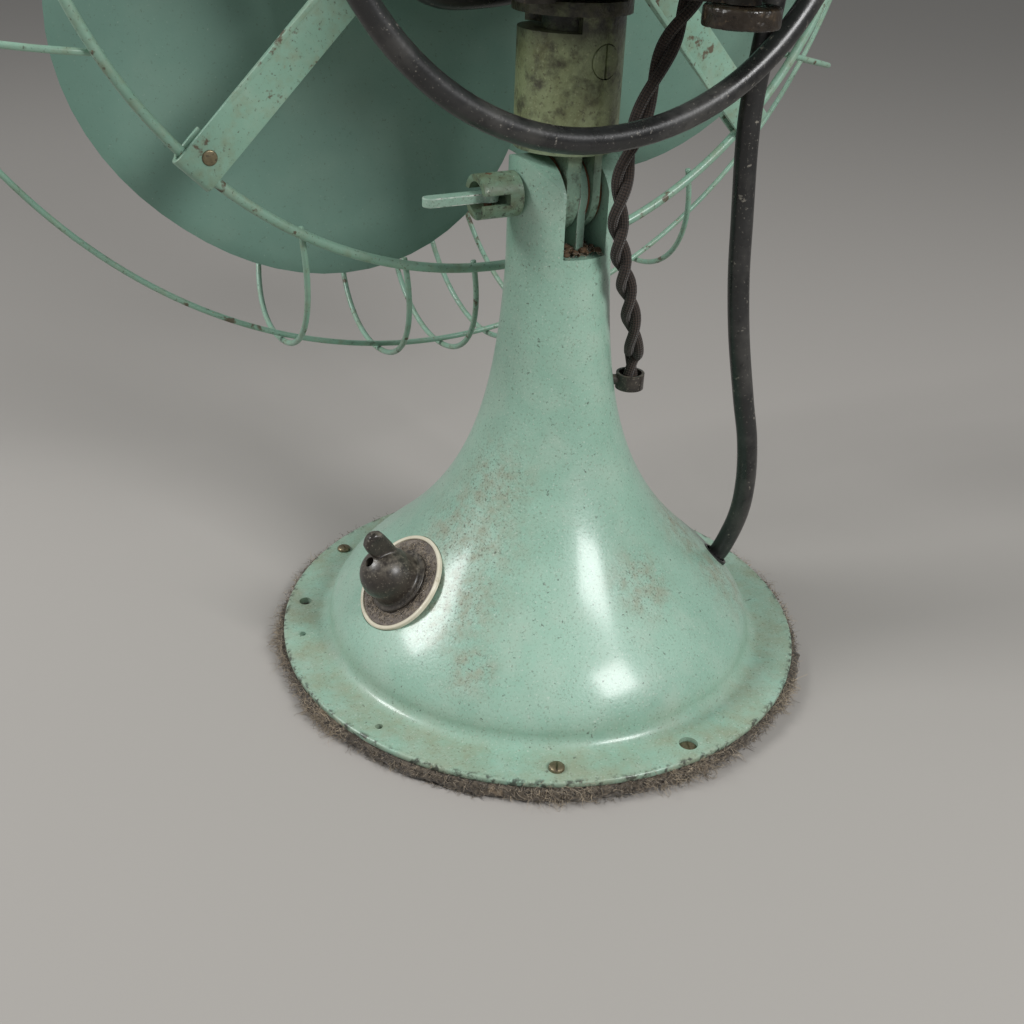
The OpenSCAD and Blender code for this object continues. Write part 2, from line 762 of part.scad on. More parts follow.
module clamp_screw() {
    slot = lever_t + 2*clear;
    color("darkseagreen") difference() {
        union() {
            on_pivot() rod(pivot_r, 2*nut_sink - column_r, barrel_x + cut);
            on_pivot() rod(barrel_r, barrel_x, barrel_x + barrel_len);
        }
        on_pivot() rod(barrel_hollow_r, barrel_x + barrel_len - barrel_hollow, barrel_x + barrel_len + cut);
        translate([barrel_x + barrel_len - barrel_hollow, -barrel_r - cut, pivot_z - slot/2])
            cube([barrel_hollow + cut, 2*barrel_r + 2*cut, slot]);
        translate([lever_pin_x, 0, pivot_z]) rod(lever_pin_r + slip, -barrel_r - cut, barrel_r + cut);
    }
}
module lever_pin() {
    color("sienna") translate([lever_pin_x, 0, pivot_z])
        rod(lever_pin_r, 2*seat_gap - barrel_r, barrel_r - 2*seat_gap);
}
module clamp_lever() {
    color("darkseagreen") translate([lever_pin_x, 0, pivot_z]) difference() {
        union() {
            rod(lever_eye_r, -lever_t/2, lever_t/2);
            translate([0, -lever_w/2, -lever_t/2]) cube([lever_len - lever_w/2, lever_w, lever_t]);
            translate([lever_len - lever_w/2, 0, 0]) rod(lever_w/2, -lever_t/2, lever_t/2);
        }
        rod(lever_pin_r + run_gap, -lever_t, lever_t);
    }
}

// Neck and swivel

module tongue(x, t) {
    on_pivot() rod(tongue_r, x, x + t);
    translate([x, -tongue_r, pivot_z]) cube([t, 2*tongue_r, neck_rise + cut]);
}
module neck() {
    color("#8f9a62") difference() {
        union() {
            tongue(tongue_x, tongue_t);
            tongue(thin_tongue_x, thin_tongue_t);
            rod(neck_r, neck_z, neck_top);
        }
        on_pivot() rod(pivot_r + run_gap, -fork_half, fork_half);
        rod(spindle_r + slip, spindle_z - seat_gap, neck_top + cut);
        at_az(notch_from) rotate_extrude(angle = notch_sweep)
            translate([notch_r, neck_top - notch_h]) square([neck_r, neck_r]);
        on_neck_screw() rod(neck_hole_r, spindle_r - cut, neck_r + cut);
        on_neck_screw() rod(neck_head_r + 2*hole_play, neck_seat, neck_r + cut);
    }
}
module neck_screw() {
    color("tan") on_neck_screw() {
        rod(neck_hole_r - hole_play, spindle_r + slip, neck_seat + cut);
        slotted_head(neck_head_r, neck_seat + seat_gap, neck_head_t);
    }
}
module swivel_spindle() color("silver") rod(spindle_r, spindle_z, spindle_top);
module swivel_lug() {
    len_xy = norm([lug_x, lug_y]);
    color("gray") difference() {
        union() {
            rod(lug_hub_r, lug_z, lug_z + lug_t);
            at_az(atan2(lug_y, lug_x)) translate([0, -lug_arm, lug_z]) cube([len_xy, 2*lug_arm, lug_t]);
            translate([lug_x, lug_y, 0]) rod(lug_eye_r, lug_z, lug_z + lug_t);
        }
        rod(spindle_r + slip, 0, axis_z);
    }
}
module thrust_washer() {
    color("peru") ring(notch_r - hole_play, spindle_r + run_gap, neck_top + seat_gap, neck_top + thrust_t);
}

// Head

module swivel_saddle() {
    window_r = norm([lug_x, lug_y]) + lug_eye_r;
    color("darkseagreen") difference() {
        union() {
            rod(collar_r, collar_z, saddle_z + cut);
            translate([-saddle_x, -saddle_y, saddle_z]) cube([2*saddle_x, 2*saddle_y, saddle_h]);
            at_az(stop_az - stop_half) rotate_extrude(angle = 2*stop_half)
                translate([notch_r + 2*clear, neck_top - notch_h + stop_rise]) square([stop_w, notch_h]);
        }
        rod(spindle_r + run_gap, 0, axis_z);
        rod(notch_r + clear, 0, neck_top + thrust_t + seat_gap);
        rod(lug_hub_r + clear, lug_z - lug_room, lug_z + lug_t + clear);
        at_az(window_from) rotate_extrude(angle = window_sweep)
            translate([spindle_r, lug_z - lug_room]) square([window_r, saddle_z - lug_z + lug_room]);
        on_fan() rod(motor_r + seat_gap, -motor_rear - cut - saddle_y, motor_front);
    }
}

module rounded_rod(r, z0, z1, round) {
    rotate_extrude() {
        translate([0, z0]) square([r, z1 - z0 - round]);
        translate([0, z0]) square([r - round, z1 - z0]);
        translate([r - round, z1 - round]) circle(r = round);
    }
}
module ears(s0, s1, r) {
    for (a = ear_az) at_az(a) translate([ear_circle_r, 0, 0]) rod(r, s0, s1);
}
module motor_front_shell() {
    color("darkseagreen") on_fan() difference() {
        union() {
            rounded_rod(motor_r, seat_gap, motor_front, front_round);
            rod(boss_r, motor_front - cut, boss_front);
            ears(seat_gap, ear_len, ear_r);
        }
        difference() {
            rod(motor_in, -cut, motor_front - motor_wall);
            rod(boss_r, motor_front - motor_wall - front_boss, motor_front);
        }
        rod(bearing_r + slip, 0, boss_front + cut);
        ears(-cut, ear_len + cut, ear_screw_r + hole_play);
        for (a = strap_az) at_az(a)
            translate([strap_screw_r, 0, 0]) rod(ear_screw_r + slip, 0, motor_front + cut);
    }
}
module motor_rear_shell() {
    color("darkseagreen") on_fan() difference() {
        union() {
            mirror([0, 0, 1]) rounded_rod(motor_r, 0, motor_rear, rear_round);
            ears(-ear_len, 0, ear_r);
        }
        difference() {
            rod(motor_in, -motor_rear + motor_wall, cut);
            rod(boss_r, -motor_rear, -motor_rear + motor_wall + rear_boss);
        }
        rod(bearing_r + slip, -motor_rear - cut, 0);
        ears(-ear_len - cut, cut, ear_screw_r + slip);
        on_lead() rod(lead_grommet_r + seat_gap, motor_in - rear_boss, motor_r + 2*cut);
    }
}
module housing_screws() {
    color("tan") {
        on_fan() for (a = ear_az) at_az(a) translate([ear_circle_r, 0, 0]) {
            rod(ear_screw_r, thread_end - ear_len, ear_len + seat_gap + cut);
            slotted_head(ear_head_r, ear_len + seat_gap, ear_head_h);
        }
        on_fan() for (a = strap_az) at_az(a) translate([strap_screw_r, 0, 0]) {
            rod(ear_screw_r, motor_front - motor_wall + thread_end, strap_s + strap_t + seat_gap + cut);
            slotted_head(strap_head_r, strap_s + strap_t + seat_gap, strap_head_h);
        }
        on_gear() at_cover_screws() {
            rod(cover_screw_r, case_top - cover_screw_len, case_top + cover_t + 2*seat_gap);
            slotted_head(cover_head_r, case_top + cover_t + seat_gap, cover_head_h);
        }
    }
}
module stator_core() color("gray") on_fan() ring(stator_r, rotor_r + air_gap, -stator_back, stator_front);
module stator_windings() {
    color("peru") on_fan() {
        ring(stator_r - 3, rotor_r + 4, stator_front + seat_gap, stator_front + winding_len);
        ring(stator_r - 3, rotor_r + 4, -stator_back - winding_len, -stator_back - seat_gap);
    }
}
module bearings() {
    color("goldenrod") on_fan() {
        ring(bearing_r, shaft_r + run_gap, motor_front - motor_wall - front_boss, boss_front);
        ring(bearing_r, shaft_r + run_gap, -motor_rear, -motor_rear + motor_wall + rear_boss);
    }
}
module lead_grommet() {
    color("black") on_fan() on_lead()
        ring(lead_grommet_r, lead_d/2 + bore_play, motor_in, motor_r + lead_lip);
}

module at_cover_screws() {
    for (a = cover_screw_az) at_az(a) translate([case_r - case_wall/2, 0, 0]) children();
}
module gear_case() {
    color("darkseagreen") difference() {
        union() {
            on_gear() rod(case_r, case_z, case_top);
            on_gear() rod(2*gear_spindle_r, crank_z + crank_t + clear, case_z + cut);
            on_fan() rod(tunnel_r, -tunnel_end, -motor_rear - seat_gap);
        }
        on_gear() rod(case_r - case_wall, case_z + case_wall, case_top + cut);
        on_fan() rod(tunnel_r - case_wall, -tunnel_end + case_wall, 0);
        on_gear() rod(gear_spindle_r + run_gap, 0, axis_z);
        on_gear() at_cover_screws()
            rod(cover_screw_r + slip, case_top - cover_screw_len - cut, case_top + cut);
        on_fan() rod(motor_r, -motor_rear, 0);
    }
}
module gear_cover() {
    color("darkseagreen") on_gear() difference() {
        rod(case_r, case_top + seat_gap, case_top + cover_t);
        at_cover_screws() rod(cover_screw_r + hole_play, case_top - cut, case_top + cover_t + cut);
    }
}

// Guard

module strap() {
    tail = rear_ring_r - rivet_in - strap_tail;
    edge = [[strap_edge_from, 0], [strap_edge_from + strap_tail, -strap_edge],
        [tail - 4*strap_tail, -strap_edge/3], [tail, 0]];
    difference() {
        union() {
            translate([strap_in_r, -strap_w/2, strap_s])
                cube([strap_end_r + strap_t - strap_in_r, strap_w, strap_t]);
            translate([strap_end_r, -strap_w/2, strap_s])
                cube([strap_t, strap_w, fold_s + strap_t - strap_s]);
            translate([tail, -strap_w/2, fold_s]) cube([strap_end_r + strap_t - tail, strap_w, strap_t]);
            translate([0, strap_w/2 - strap_t, strap_s]) rotate([90, 0, 180]) mirror([1, 0, 0])
                linear_extrude(strap_t) polygon(edge);
        }
        translate([strap_screw_r, 0, 0]) rod(ear_screw_r + hole_play, 0, bend_s);
        translate([rear_ring_r - rivet_in, 0, 0]) rod(rivet_shank_r + slip, 0, bend_s);
    }
}
module guard_straps() color("darkseagreen") on_fan() for (a = strap_az) at_az(a) strap();
module strap_rivets() {
    color("sienna") on_fan() for (a = strap_az) at_az(a) translate([rear_ring_r - rivet_in, 0, 0]) {
        rod(rivet_shank_r, strap_s - rivet_grip, fold_s + strap_t + rivet_grip);
        rod(rivet_r, strap_s - seat_gap - rivet_h, strap_s - seat_gap);
        rod(rivet_r, fold_s + strap_t + seat_gap, fold_s + strap_t + seat_gap + rivet_h);
    }
}
module guard_rear_ring() color("darkseagreen") on_fan() wire_ring(rear_ring_r, rear_wire_r, rear_ring_s);
module guard_outer_ring() color("darkseagreen") on_fan() wire_ring(outer_ring_r, outer_wire_r, outer_ring_s);
module guard_inner_ring() {
    ring_s = guard_front_s - guard_wire_r - inner_wire_r - weld_gap;
    color("darkseagreen") on_fan() wire_ring(inner_ring_r, inner_wire_r, ring_s);
}
module guard_arc(r, from, sweep) {
    rotate([90, 0, 0]) rotate([0, 0, from])
        rotate_extrude(angle = sweep) translate([r, 0]) circle(r = guard_wire_r);
}
module guard_wire(lean) {
    top = guard_foot_r + guard_bend_r;
    foot = [guard_foot_r*cos(lean), guard_foot_r*sin(lean)];
    run = norm([top - foot[0], foot[1]]);
    back = lean == 0 ? 90 : 0;
    translate([guard_foot_r, 0, bend_s]) guard_arc(guard_bend_r, -back, 90 + back);
    if (lean != 0)
        translate([top, 0, bend_s]) rotate([0, 0, -atan2(foot[1], top - foot[0])])
            translate([-guard_bend_r, 0, 0]) {
                guard_arc(guard_bend_r, -90, 90);
                translate([0, 0, -guard_bend_r]) rotate([0, -90, 0]) rod(guard_wire_r, 0, run - guard_bend_r);
            }
    translate([0, 0, guard_front_s]) rotate([0, 90, 0]) rod(guard_wire_r, guard_tip_r, guard_foot_r);
}
module guard_wires() {
    color("darkseagreen") on_fan() for (q = [0:3]) for (w = guard_quarter) {
        flip = q%2 == 0 ? -1 : 1;
        at_az(90*q + flip*w[1]) guard_wire(flip*(w[0] - w[1]));
    }
}
module guard_badge() {
    front = guard_front_s + guard_wire_r + weld_gap;
    color("darkseagreen") on_fan() rod(badge_r, front, front + strap_t);
}

// Rotor

module shaft() {
    color("silver") on_fan() {
        rod(shaft_r, -shaft_step, shaft_front);
        rod(shaft_tail_r, -shaft_back, -shaft_step + cut);
    }
}
module rotor_core() color("gray") on_fan() ring(rotor_r, shaft_r + slip, -stator_back, stator_front);
function worm_point(i, r, d) = let (a = 360*i/worm_steps)
    [r*cos(a), r*sin(a), worm_pitch*(i/worm_steps - worm_turns/2) + d];
module worm_thread() {
    n = worm_turns*worm_steps;
    pts = [for (i = [0:n]) each [worm_point(i, thread_in, -thread_foot), worm_point(i, worm_r, -thread_crest),
        worm_point(i, worm_r, thread_crest), worm_point(i, thread_in, thread_foot)]];
    wall = [for (i = [0:n - 1]) for (k = [0:3]) let (m = (k + 1)%4)
        each [[4*i + k, 4*i + m, 4*i + 4 + k], [4*i + m, 4*i + 4 + m, 4*i + 4 + k]]];
    ends = [[0, 3, 2], [0, 2, 1], [4*n, 4*n + 1, 4*n + 2], [4*n, 4*n + 2, 4*n + 3]];
    polyhedron(points = pts, faces = concat(wall, ends));
}
module worm() {
    half = worm_pitch*(worm_turns + 1)/2;
    color("goldenrod") on_fan() translate([0, 0, -gear_y]) {
        ring(worm_body_r, shaft_tail_r + slip, -half, half);
        rotate([0, 0, 180]) worm_thread();
    }
}
function blade_out_r(a) = tip_r*(1 - pow(abs(a)/blade_span, blade_shape));
function blade_point(a, f, lift) = let (r = blade_in_r + f*(blade_out_r(a) - blade_in_r))
    [r*cos(a), r*sin(a), blade_s + r*tan(blade_pitch)*a*PI/180 + lift];
module blade() {
    n = blade_cols;
    m = blade_rows;
    side = (n + 1)*(m + 1);
    pts = [for (lift = [-blade_t/2, blade_t/2]) for (i = [0:n]) for (j = [0:m])
        blade_point(blade_edge*(2*i/n - 1), j/m, lift)];
    function at(i, j) = i*(m + 1) + j;
    skin = [for (i = [0:n - 1]) for (j = [0:m - 1])
        let (a = at(i, j), b = at(i + 1, j), c = at(i + 1, j + 1), d = at(i, j + 1)) each
        [[a, b, c], [a, c, d], [side + a, side + c, side + b], [side + a, side + d, side + c]]];
    loop = concat([for (j = [0:m]) at(0, j)], [for (i = [1:n]) at(i, m)], [for (j = [m - 1:-1:0]) at(n, j)],
        [for (i = [n - 1:-1:1]) at(i, 0)]);
    rim = [for (k = [0:len(loop) - 1]) let (a = loop[k], b = loop[(k + 1)%len(loop)])
        each [[a, b, side + b], [a, side + b, side + a]]];
    polyhedron(points = pts, faces = concat(skin, [for (f = rim) [f[0], f[2], f[1]]]));
}
module each_blade() for (k = [0:blade_count - 1]) at_az(blade_start + 360*k/blade_count) children();
module blades() color("darkseagreen") on_fan() each_blade() blade();
module on_arm() translate([0, 0, blade_s]) rotate([blade_pitch, 0, 0]) children();
module on_hub_screw() translate([0, 0, blade_s - hub_half + hub_screw_up]) rotate([-90, 0, 0]) children();
module blade_hub() {
    color("darkseagreen") on_fan() difference() {
        union() {
            rod(hub_r, blade_s - hub_half, blade_s + hub_half);
            each_blade() on_arm() translate([0, -arm_w/2, arm_back]) cube([arm_len, arm_w, arm_t]);
        }
        rod(shaft_r + slip, 0, shaft_front + cut);
        each_blade() on_arm() for (x = blade_rivet_at)
            translate([x, 0, 0]) rod(rivet_shank_r + slip, 2*arm_back, 0);
        on_hub_screw() rod(ear_screw_r + slip, 0, hub_r + cut);
    }
}
module blade_rivets() {
    color("silver") on_fan() each_blade() on_arm() for (x = blade_rivet_at) translate([x, 0, 0]) {
        rod(rivet_shank_r, arm_back - cut, arm_back + arm_t);
        rod(2*rivet_shank_r, arm_back - seat_gap - blade_rivet_h, arm_back - seat_gap);
    }
}
module hub_screw() {
    color("gray") on_fan() on_hub_screw() rod(ear_screw_r, shaft_r + seat_gap, hub_r - hub_screw_sink);
}

// Oscillator

module wheel_outline() {
    step = 360/wheel_teeth;
    polygon([for (k = [0:wheel_teeth - 1]) let (a = k*step) each
        [wheel_root_r*[cos(a - step/4), sin(a - step/4)], wheel_tip_r*[cos(a - step/8), sin(a - step/8)],
        wheel_tip_r*[cos(a + step/8), sin(a + step/8)], wheel_root_r*[cos(a + step/4), sin(a + step/4)]]]);
}
module worm_wheel() {
    color("goldenrod") on_gear() difference() {
        union() {
            translate([0, 0, axis_z - wheel_half]) linear_extrude(2*wheel_half) wheel_outline();
            rod(2*gear_spindle_r, axis_z - 3*wheel_half, axis_z + 2*wheel_half);
        }
        rod(gear_spindle_r + slip, 0, axis_z + 5*wheel_half);
    }
}
module crank() {
    color("#2b2622") on_gear() {
        rod(gear_spindle_r, crank_z + cut, axis_z + 2*wheel_half - cut);
        rod(crank_throw + 2*crank_pin_r, crank_z, crank_z + crank_t);
        translate([crank_throw, 0, 0]) {
            rod(crank_pin_r, link_z - clear - cap_t, crank_z + cut);
            rod(cap_r, link_z - clear - cap_t, link_z - clear);
        }
    }
}
module crank_link() {
    eye_r = 2*crank_pin_r;
    from = [gear_x + crank_throw, gear_y];
    run = [lug_x, lug_y] - from;
    color("gray") translate([from[0], from[1], 0]) difference() {
        union() {
            rod(eye_r, link_z, link_z + link_t);
            at_az(atan2(run[1], run[0])) {
                translate([0, -crank_pin_r, link_z]) cube([norm(run), 2*crank_pin_r, link_t]);
                translate([norm(run), 0, 0]) rod(eye_r, link_z, link_z + link_t);
            }
        }
        rod(crank_pin_r + run_gap, 0, axis_z);
    }
}

// Cords and plug

module power_cord_riser() color("#2a2a2a") cord(riser_path, cord_r, cord_sides);
module power_cord_coil() color("#2a2a2a") cord(coil_path, cord_r, cord_sides);
module motor_lead() color("#3a2a24") cord(lead_path, lead_d/2, cord_sides);
module plug_body() {
    color("#241d18") translate(plug_top - [0, 0, cord_gap]) difference() {
        union() {
            rod(plug_r, -plug_len, -plug_len/2);
            translate([0, 0, -plug_len/2]) cylinder(r1 = plug_r, r2 = plug_neck_r, h = plug_len/2);
        }
        for (x = [-1, 1]) translate([x*plug_pin_gap/2, 0, 0])
            rod(plug_pin_r + slip, -plug_len - cut, pin_seat + cut - plug_len);
    }
}
module plug_pins() {
    color("gold") translate(plug_top - [0, 0, cord_gap]) for (x = [-1, 1]) translate([x*plug_pin_gap/2, 0, 0])
        rod(plug_pin_r, -plug_len - plug_pin_len, pin_seat - plug_len);
}

felt_pad();
base_shell();
base_plate();
flange_screws();
switch_body();
switch_nut();
dial_plate();
dial_rim();
choke_core();
choke_winding();
terminal_block();
cord_grommet();
lead_bush();
fibre_washers();
friction_plate();
clamp_nut();
switch_shaft();
switch_knob();
knob_screw();
clamp_screw();
lever_pin();
clamp_lever();
neck();
neck_screw();
swivel_spindle();
swivel_lug();
thrust_washer();
swivel_saddle();
motor_front_shell();
motor_rear_shell();
housing_screws();
stator_core();
stator_windings();
bearings();
lead_grommet();
gear_case();
gear_cover();
guard_straps();
strap_rivets();
guard_rear_ring();
guard_outer_ring();
guard_inner_ring();
guard_wires();
guard_badge();
shaft();
rotor_core();
worm();
blade_hub();
blades();
blade_rivets();
hub_screw();
worm_wheel();
crank();
crank_link();
power_cord_riser();
power_cord_coil();
plug_body();
plug_pins();
motor_lead();
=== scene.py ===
"""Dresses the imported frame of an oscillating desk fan: iron base, wire guard, lobed blades and wound cord."""
import json
import logging
import math
import random
from collections.abc import Iterator
from contextlib import contextmanager
from dataclasses import dataclass, field
from enum import Enum

import bpy
from mathutils import Matrix, Vector, noise
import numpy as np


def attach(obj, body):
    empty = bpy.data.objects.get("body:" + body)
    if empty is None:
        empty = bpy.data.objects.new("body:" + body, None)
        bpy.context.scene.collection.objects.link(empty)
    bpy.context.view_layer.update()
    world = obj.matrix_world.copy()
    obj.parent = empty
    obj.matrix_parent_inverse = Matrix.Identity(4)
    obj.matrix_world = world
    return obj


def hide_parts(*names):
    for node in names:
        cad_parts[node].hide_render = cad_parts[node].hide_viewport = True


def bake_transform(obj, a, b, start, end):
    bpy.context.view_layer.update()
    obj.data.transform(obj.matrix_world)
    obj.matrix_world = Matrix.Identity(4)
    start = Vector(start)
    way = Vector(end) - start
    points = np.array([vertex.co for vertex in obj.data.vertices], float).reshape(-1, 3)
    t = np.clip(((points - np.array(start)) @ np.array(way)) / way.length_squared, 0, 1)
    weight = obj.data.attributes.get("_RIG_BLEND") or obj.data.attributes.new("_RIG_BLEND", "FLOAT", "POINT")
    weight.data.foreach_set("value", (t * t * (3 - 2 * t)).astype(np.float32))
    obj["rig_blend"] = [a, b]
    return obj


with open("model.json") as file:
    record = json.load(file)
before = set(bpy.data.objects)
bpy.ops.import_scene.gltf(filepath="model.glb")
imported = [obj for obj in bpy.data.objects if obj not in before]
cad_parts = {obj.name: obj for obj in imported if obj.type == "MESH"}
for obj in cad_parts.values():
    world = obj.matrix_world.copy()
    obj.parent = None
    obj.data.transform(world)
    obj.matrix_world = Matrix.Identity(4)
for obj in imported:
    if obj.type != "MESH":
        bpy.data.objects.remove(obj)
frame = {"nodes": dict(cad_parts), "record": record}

LOG = logging.getLogger("fan")
MM = 0.001
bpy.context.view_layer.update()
BODIES = {node: body for body, nodes in frame["record"]["behaviour"]["bodies"].items() for node in nodes}
Piece = bpy.types.Object
Tree = bpy.types.NodeTree
Socket = bpy.types.NodeSocket
# Heights and radii of the casting and the fan's axis, in millimetres.
AXIS_Z = 292.0
PIVOT_Z = 176.0
EAR_Z = 170.0
FORK_FLOOR_Z = 157.0
COLUMN_R = 18.0
BELL_TOP_Z = 150.0
BELL_FOOT_Z = 20.0
BELL_FLARE = 62.5
BELL_DROP = 42.3
BELL_POWER = 1.22
# Gaps in metres that close when points merge, and the angle under which neighbouring faces count as flat.
MERGE_GAP = 2e-6
FRAME_MERGE_GAP = 4e-6
FLAT_ANGLE = math.radians(0.6)
# The part of a dirty spot's radius that is covered in full.
SPOT_CORE = 0.15
FAN = Matrix.Translation((0, 0, AXIS_Z * MM)) @ Matrix.Rotation(math.pi / 2, 4, "X")


class Where(Enum):
    """Where on a piece a layer of dirt or wear lies."""

    ALL = "all over"
    UPWARD = "faces that look up"
    RADIUS = "distance from the column's axis"
    HEIGHT = "height above the table"
    SPOTS = "round named points"


@dataclass(frozen=True)
class Mask:
    """A share from 0 to 1 that limits a layer to a part of the piece.

    start and full are where the share is 0 and 1: millimetres, or the cosine of the slope for UPWARD.
    Each spot is x, y, z and a radius in millimetres.
    """

    kind: Where = Where.ALL
    start: float = 0.0
    full: float = 1.0
    spots: tuple[tuple[float, float, float, float], ...] = ()


@dataclass(frozen=True)
class Layer:
    """One film of colour that lies where a noise of grain millimetres passes from low to high."""

    colour: str
    grain: float
    low: float
    high: float
    strength: float = 1.0
    rough: float = 0.6
    mask: Mask = Mask()
    detail: float = 4.0
    metallic: float = 0.0
    dent: float = 0.0


def linear(hex_colour: str) -> tuple[float, float, float, float]:
    """Turns an sRGB hex colour into linear RGBA.

    Args:
        hex_colour: six hex digits with a leading hash.

    Returns:
        Red, green, blue and alpha for a shader socket.
    """
    parts = [int(hex_colour[i:i + 2], 16) / 255 for i in (1, 3, 5)]
    return (*[c / 12.92 if c <= 0.04045 else ((c + 0.055) / 1.055) ** 2.4 for c in parts], 1.0)


def feed(tree: Tree, node: bpy.types.Node, inputs: dict) -> None:
    """Gives a node's sockets their values or their links.

    Args:
        tree: the material's node tree.
        node: the node to feed.
        inputs: socket name or index to a value, or to the output socket that feeds it.
    """
    for key, value in inputs.items():
        if isinstance(value, Socket):
            tree.links.new(value, node.inputs[key])
        else:
            node.inputs[key].default_value = value


def add(tree: Tree, kind: str, inputs: dict | None = None, **settings) -> bpy.types.Node:
    """Adds a shader node with its settings and links.

    Args:
        tree: the material's node tree.
        kind: the node's type name.
        inputs: what feeds its sockets.
        settings: the node's own properties.

    Returns:
        The new node.
    """
    made = tree.nodes.new(kind)
    for key, value in settings.items():
        setattr(made, key, value)
    feed(tree, made, inputs or {})
    return made


def maths(tree: Tree, operation: str, *values: Socket | float) -> Socket:
    """Adds a sum on values and gives its result."""
    return add(tree, "ShaderNodeMath", dict(enumerate(values)), operation=operation).outputs[0]


def mixed(tree: Tree, share: Socket, low: Socket | tuple, high: Socket | tuple) -> Socket:
    """Adds a mix of two colours and gives its result."""
    return add(tree, "ShaderNodeMix", {0: share, 6: low, 7: high}, data_type="RGBA").outputs[2]


def ranged(tree: Tree, value: Socket, low: float, high: float, to: tuple[float, float] = (0.0, 1.0),
           **settings) -> Socket:
    """Adds a node that takes a value between low and high to another range, and gives its result."""
    ends = {"Value": value, "From Min": low, "From Max": high, "To Min": to[0], "To Max": to[1]}
    return add(tree, "ShaderNodeMapRange", ends, **settings).outputs[0]


def speckle(tree: Tree, vector: Socket, grain: float, detail: float, rough: float = 0.5) -> Socket:
    """Adds a noise with a grain in millimetres and gives its value."""
    inputs = {"Vector": vector, "Scale": 1 / (grain * MM), "Detail": detail, "Roughness": rough}
    return add(tree, "ShaderNodeTexNoise", inputs).outputs[0]


class Surface:
    """A node material that is made once, the first time it is asked for."""

    name: str

    def sockets(self, tree: Tree) -> dict:
        """Builds the nodes and says what feeds each socket of the shader."""
        raise NotImplementedError

    def build(self) -> bpy.types.Material:
        """Makes the material, or finds it.

        Returns:
            The material.
        """
        material = bpy.data.materials.get(self.name)
        if material is None:
            material = bpy.data.materials.new(self.name)
            material.use_nodes = True
            tree = material.node_tree
            feed(tree, tree.nodes["Principled BSDF"], self.sockets(tree))
        return material


@dataclass(frozen=True)
class Finish(Surface):
    """A surface: its body colour with a slow change of tone, its gloss, its grain and the films on top."""

    name: str
    colour: str
    tone: str
    tone_grain: float = 40.0
    rough: float = 0.45
    rough_spread: float = 0.12
    metallic: float = 0.0
    coat: float = 0.0
    coat_rough: float = 0.12
    sheen: float = 0.0
    bump_grain: float = 1.2
    bump: float = 0.05
    bump_detail: float = 3.0
    layers: tuple[Layer, ...] = ()
    stretch: tuple[float, float, float] = (1.0, 1.0, 1.0)

    def mask(self, tree: Tree, coords: bpy.types.Node, mask: Mask) -> Socket | None:
        """Builds the nodes of a mask.

        Args:
            tree: the material's node tree.
            coords: its Texture Coordinate node.
            mask: the mask to build.

        Returns:
            The socket with the share, or None where the layer lies all over.
        """
        place = coords.outputs["Object"]
        if mask.kind is Where.ALL:
            return None
        if mask.kind is Where.SPOTS:
            share = None
            for x, y, z, radius in mask.spots:
                far = add(tree, "ShaderNodeVectorMath", {0: place, 1: (x * MM, y * MM, z * MM)},
                          operation="DISTANCE")
                spot = ranged(tree, far.outputs["Value"], radius * MM, SPOT_CORE * radius * MM,
                              interpolation_type="SMOOTHSTEP")
                share = spot if share is None else maths(tree, "MAXIMUM", share, spot)
            return share
        if mask.kind is Where.UPWARD:
            normal = coords.outputs["Normal"]
            value = add(tree, "ShaderNodeSeparateXYZ", {0: normal}).outputs["Z"]
            return ranged(tree, value, mask.start, mask.full)
        if mask.kind is Where.HEIGHT:
            value = add(tree, "ShaderNodeSeparateXYZ", {0: place}).outputs["Z"]
        else:
            flat = add(tree, "ShaderNodeVectorMath", {0: place, 1: (1, 1, 0)}, operation="MULTIPLY")
            value = add(tree, "ShaderNodeVectorMath", {0: flat.outputs[0]},
                        operation="LENGTH").outputs["Value"]
        return ranged(tree, value, mask.start * MM, mask.full * MM)

    def sockets(self, tree: Tree) -> dict:
        """Builds the body colour, its films and its grain."""
        coords = add(tree, "ShaderNodeTexCoord")
        place = add(tree, "ShaderNodeMapping", {"Vector": coords.outputs["Object"], "Scale": self.stretch})
        vector = place.outputs["Vector"]
        slow = speckle(tree, vector, self.tone_grain, 5.0, 0.6)
        colour = mixed(tree, ranged(tree, slow, 0.33, 0.67), linear(self.colour), linear(self.tone))
        rough = ranged(tree, slow, 0.3, 0.7, (self.rough - self.rough_spread, self.rough + self.rough_spread))
        metal = self.metallic
        height = speckle(tree, vector, self.bump_grain, self.bump_detail, 0.55)
        for number, layer in enumerate(self.layers):
            shift = add(tree, "ShaderNodeVectorMath", {0: vector, 1: (0.37 * number, 0.21, 0.13 * number)},
                        operation="ADD")
            grain = speckle(tree, shift.outputs[0], layer.grain, layer.detail, 0.62)
            share = ranged(tree, grain, layer.low, layer.high, (0.0, layer.strength))
            limit = self.mask(tree, coords, layer.mask)
            if limit is not None:
                share = maths(tree, "MULTIPLY", share, limit)
            colour = mixed(tree, share, colour, linear(layer.colour))
            rough = add(tree, "ShaderNodeMix", {0: share, 2: rough, 3: layer.rough}).outputs[0]
            if self.metallic or layer.metallic:
                metal = add(tree, "ShaderNodeMix", {0: share, 2: metal, 3: layer.metallic}).outputs[0]
            if layer.dent:
                height = maths(tree, "MULTIPLY_ADD", share, layer.dent, height)
        bump = add(tree, "ShaderNodeBump", {"Height": height, "Strength": min(1.0, self.bump * 4),
                                            "Distance": self.bump_grain * MM * 0.35})
        return {"Base Color": colour, "Roughness": rough, "Normal": bump.outputs[0], "Metallic": metal,
                "Coat Weight": self.coat, "Coat Roughness": self.coat_rough, "Sheen Weight": self.sheen}


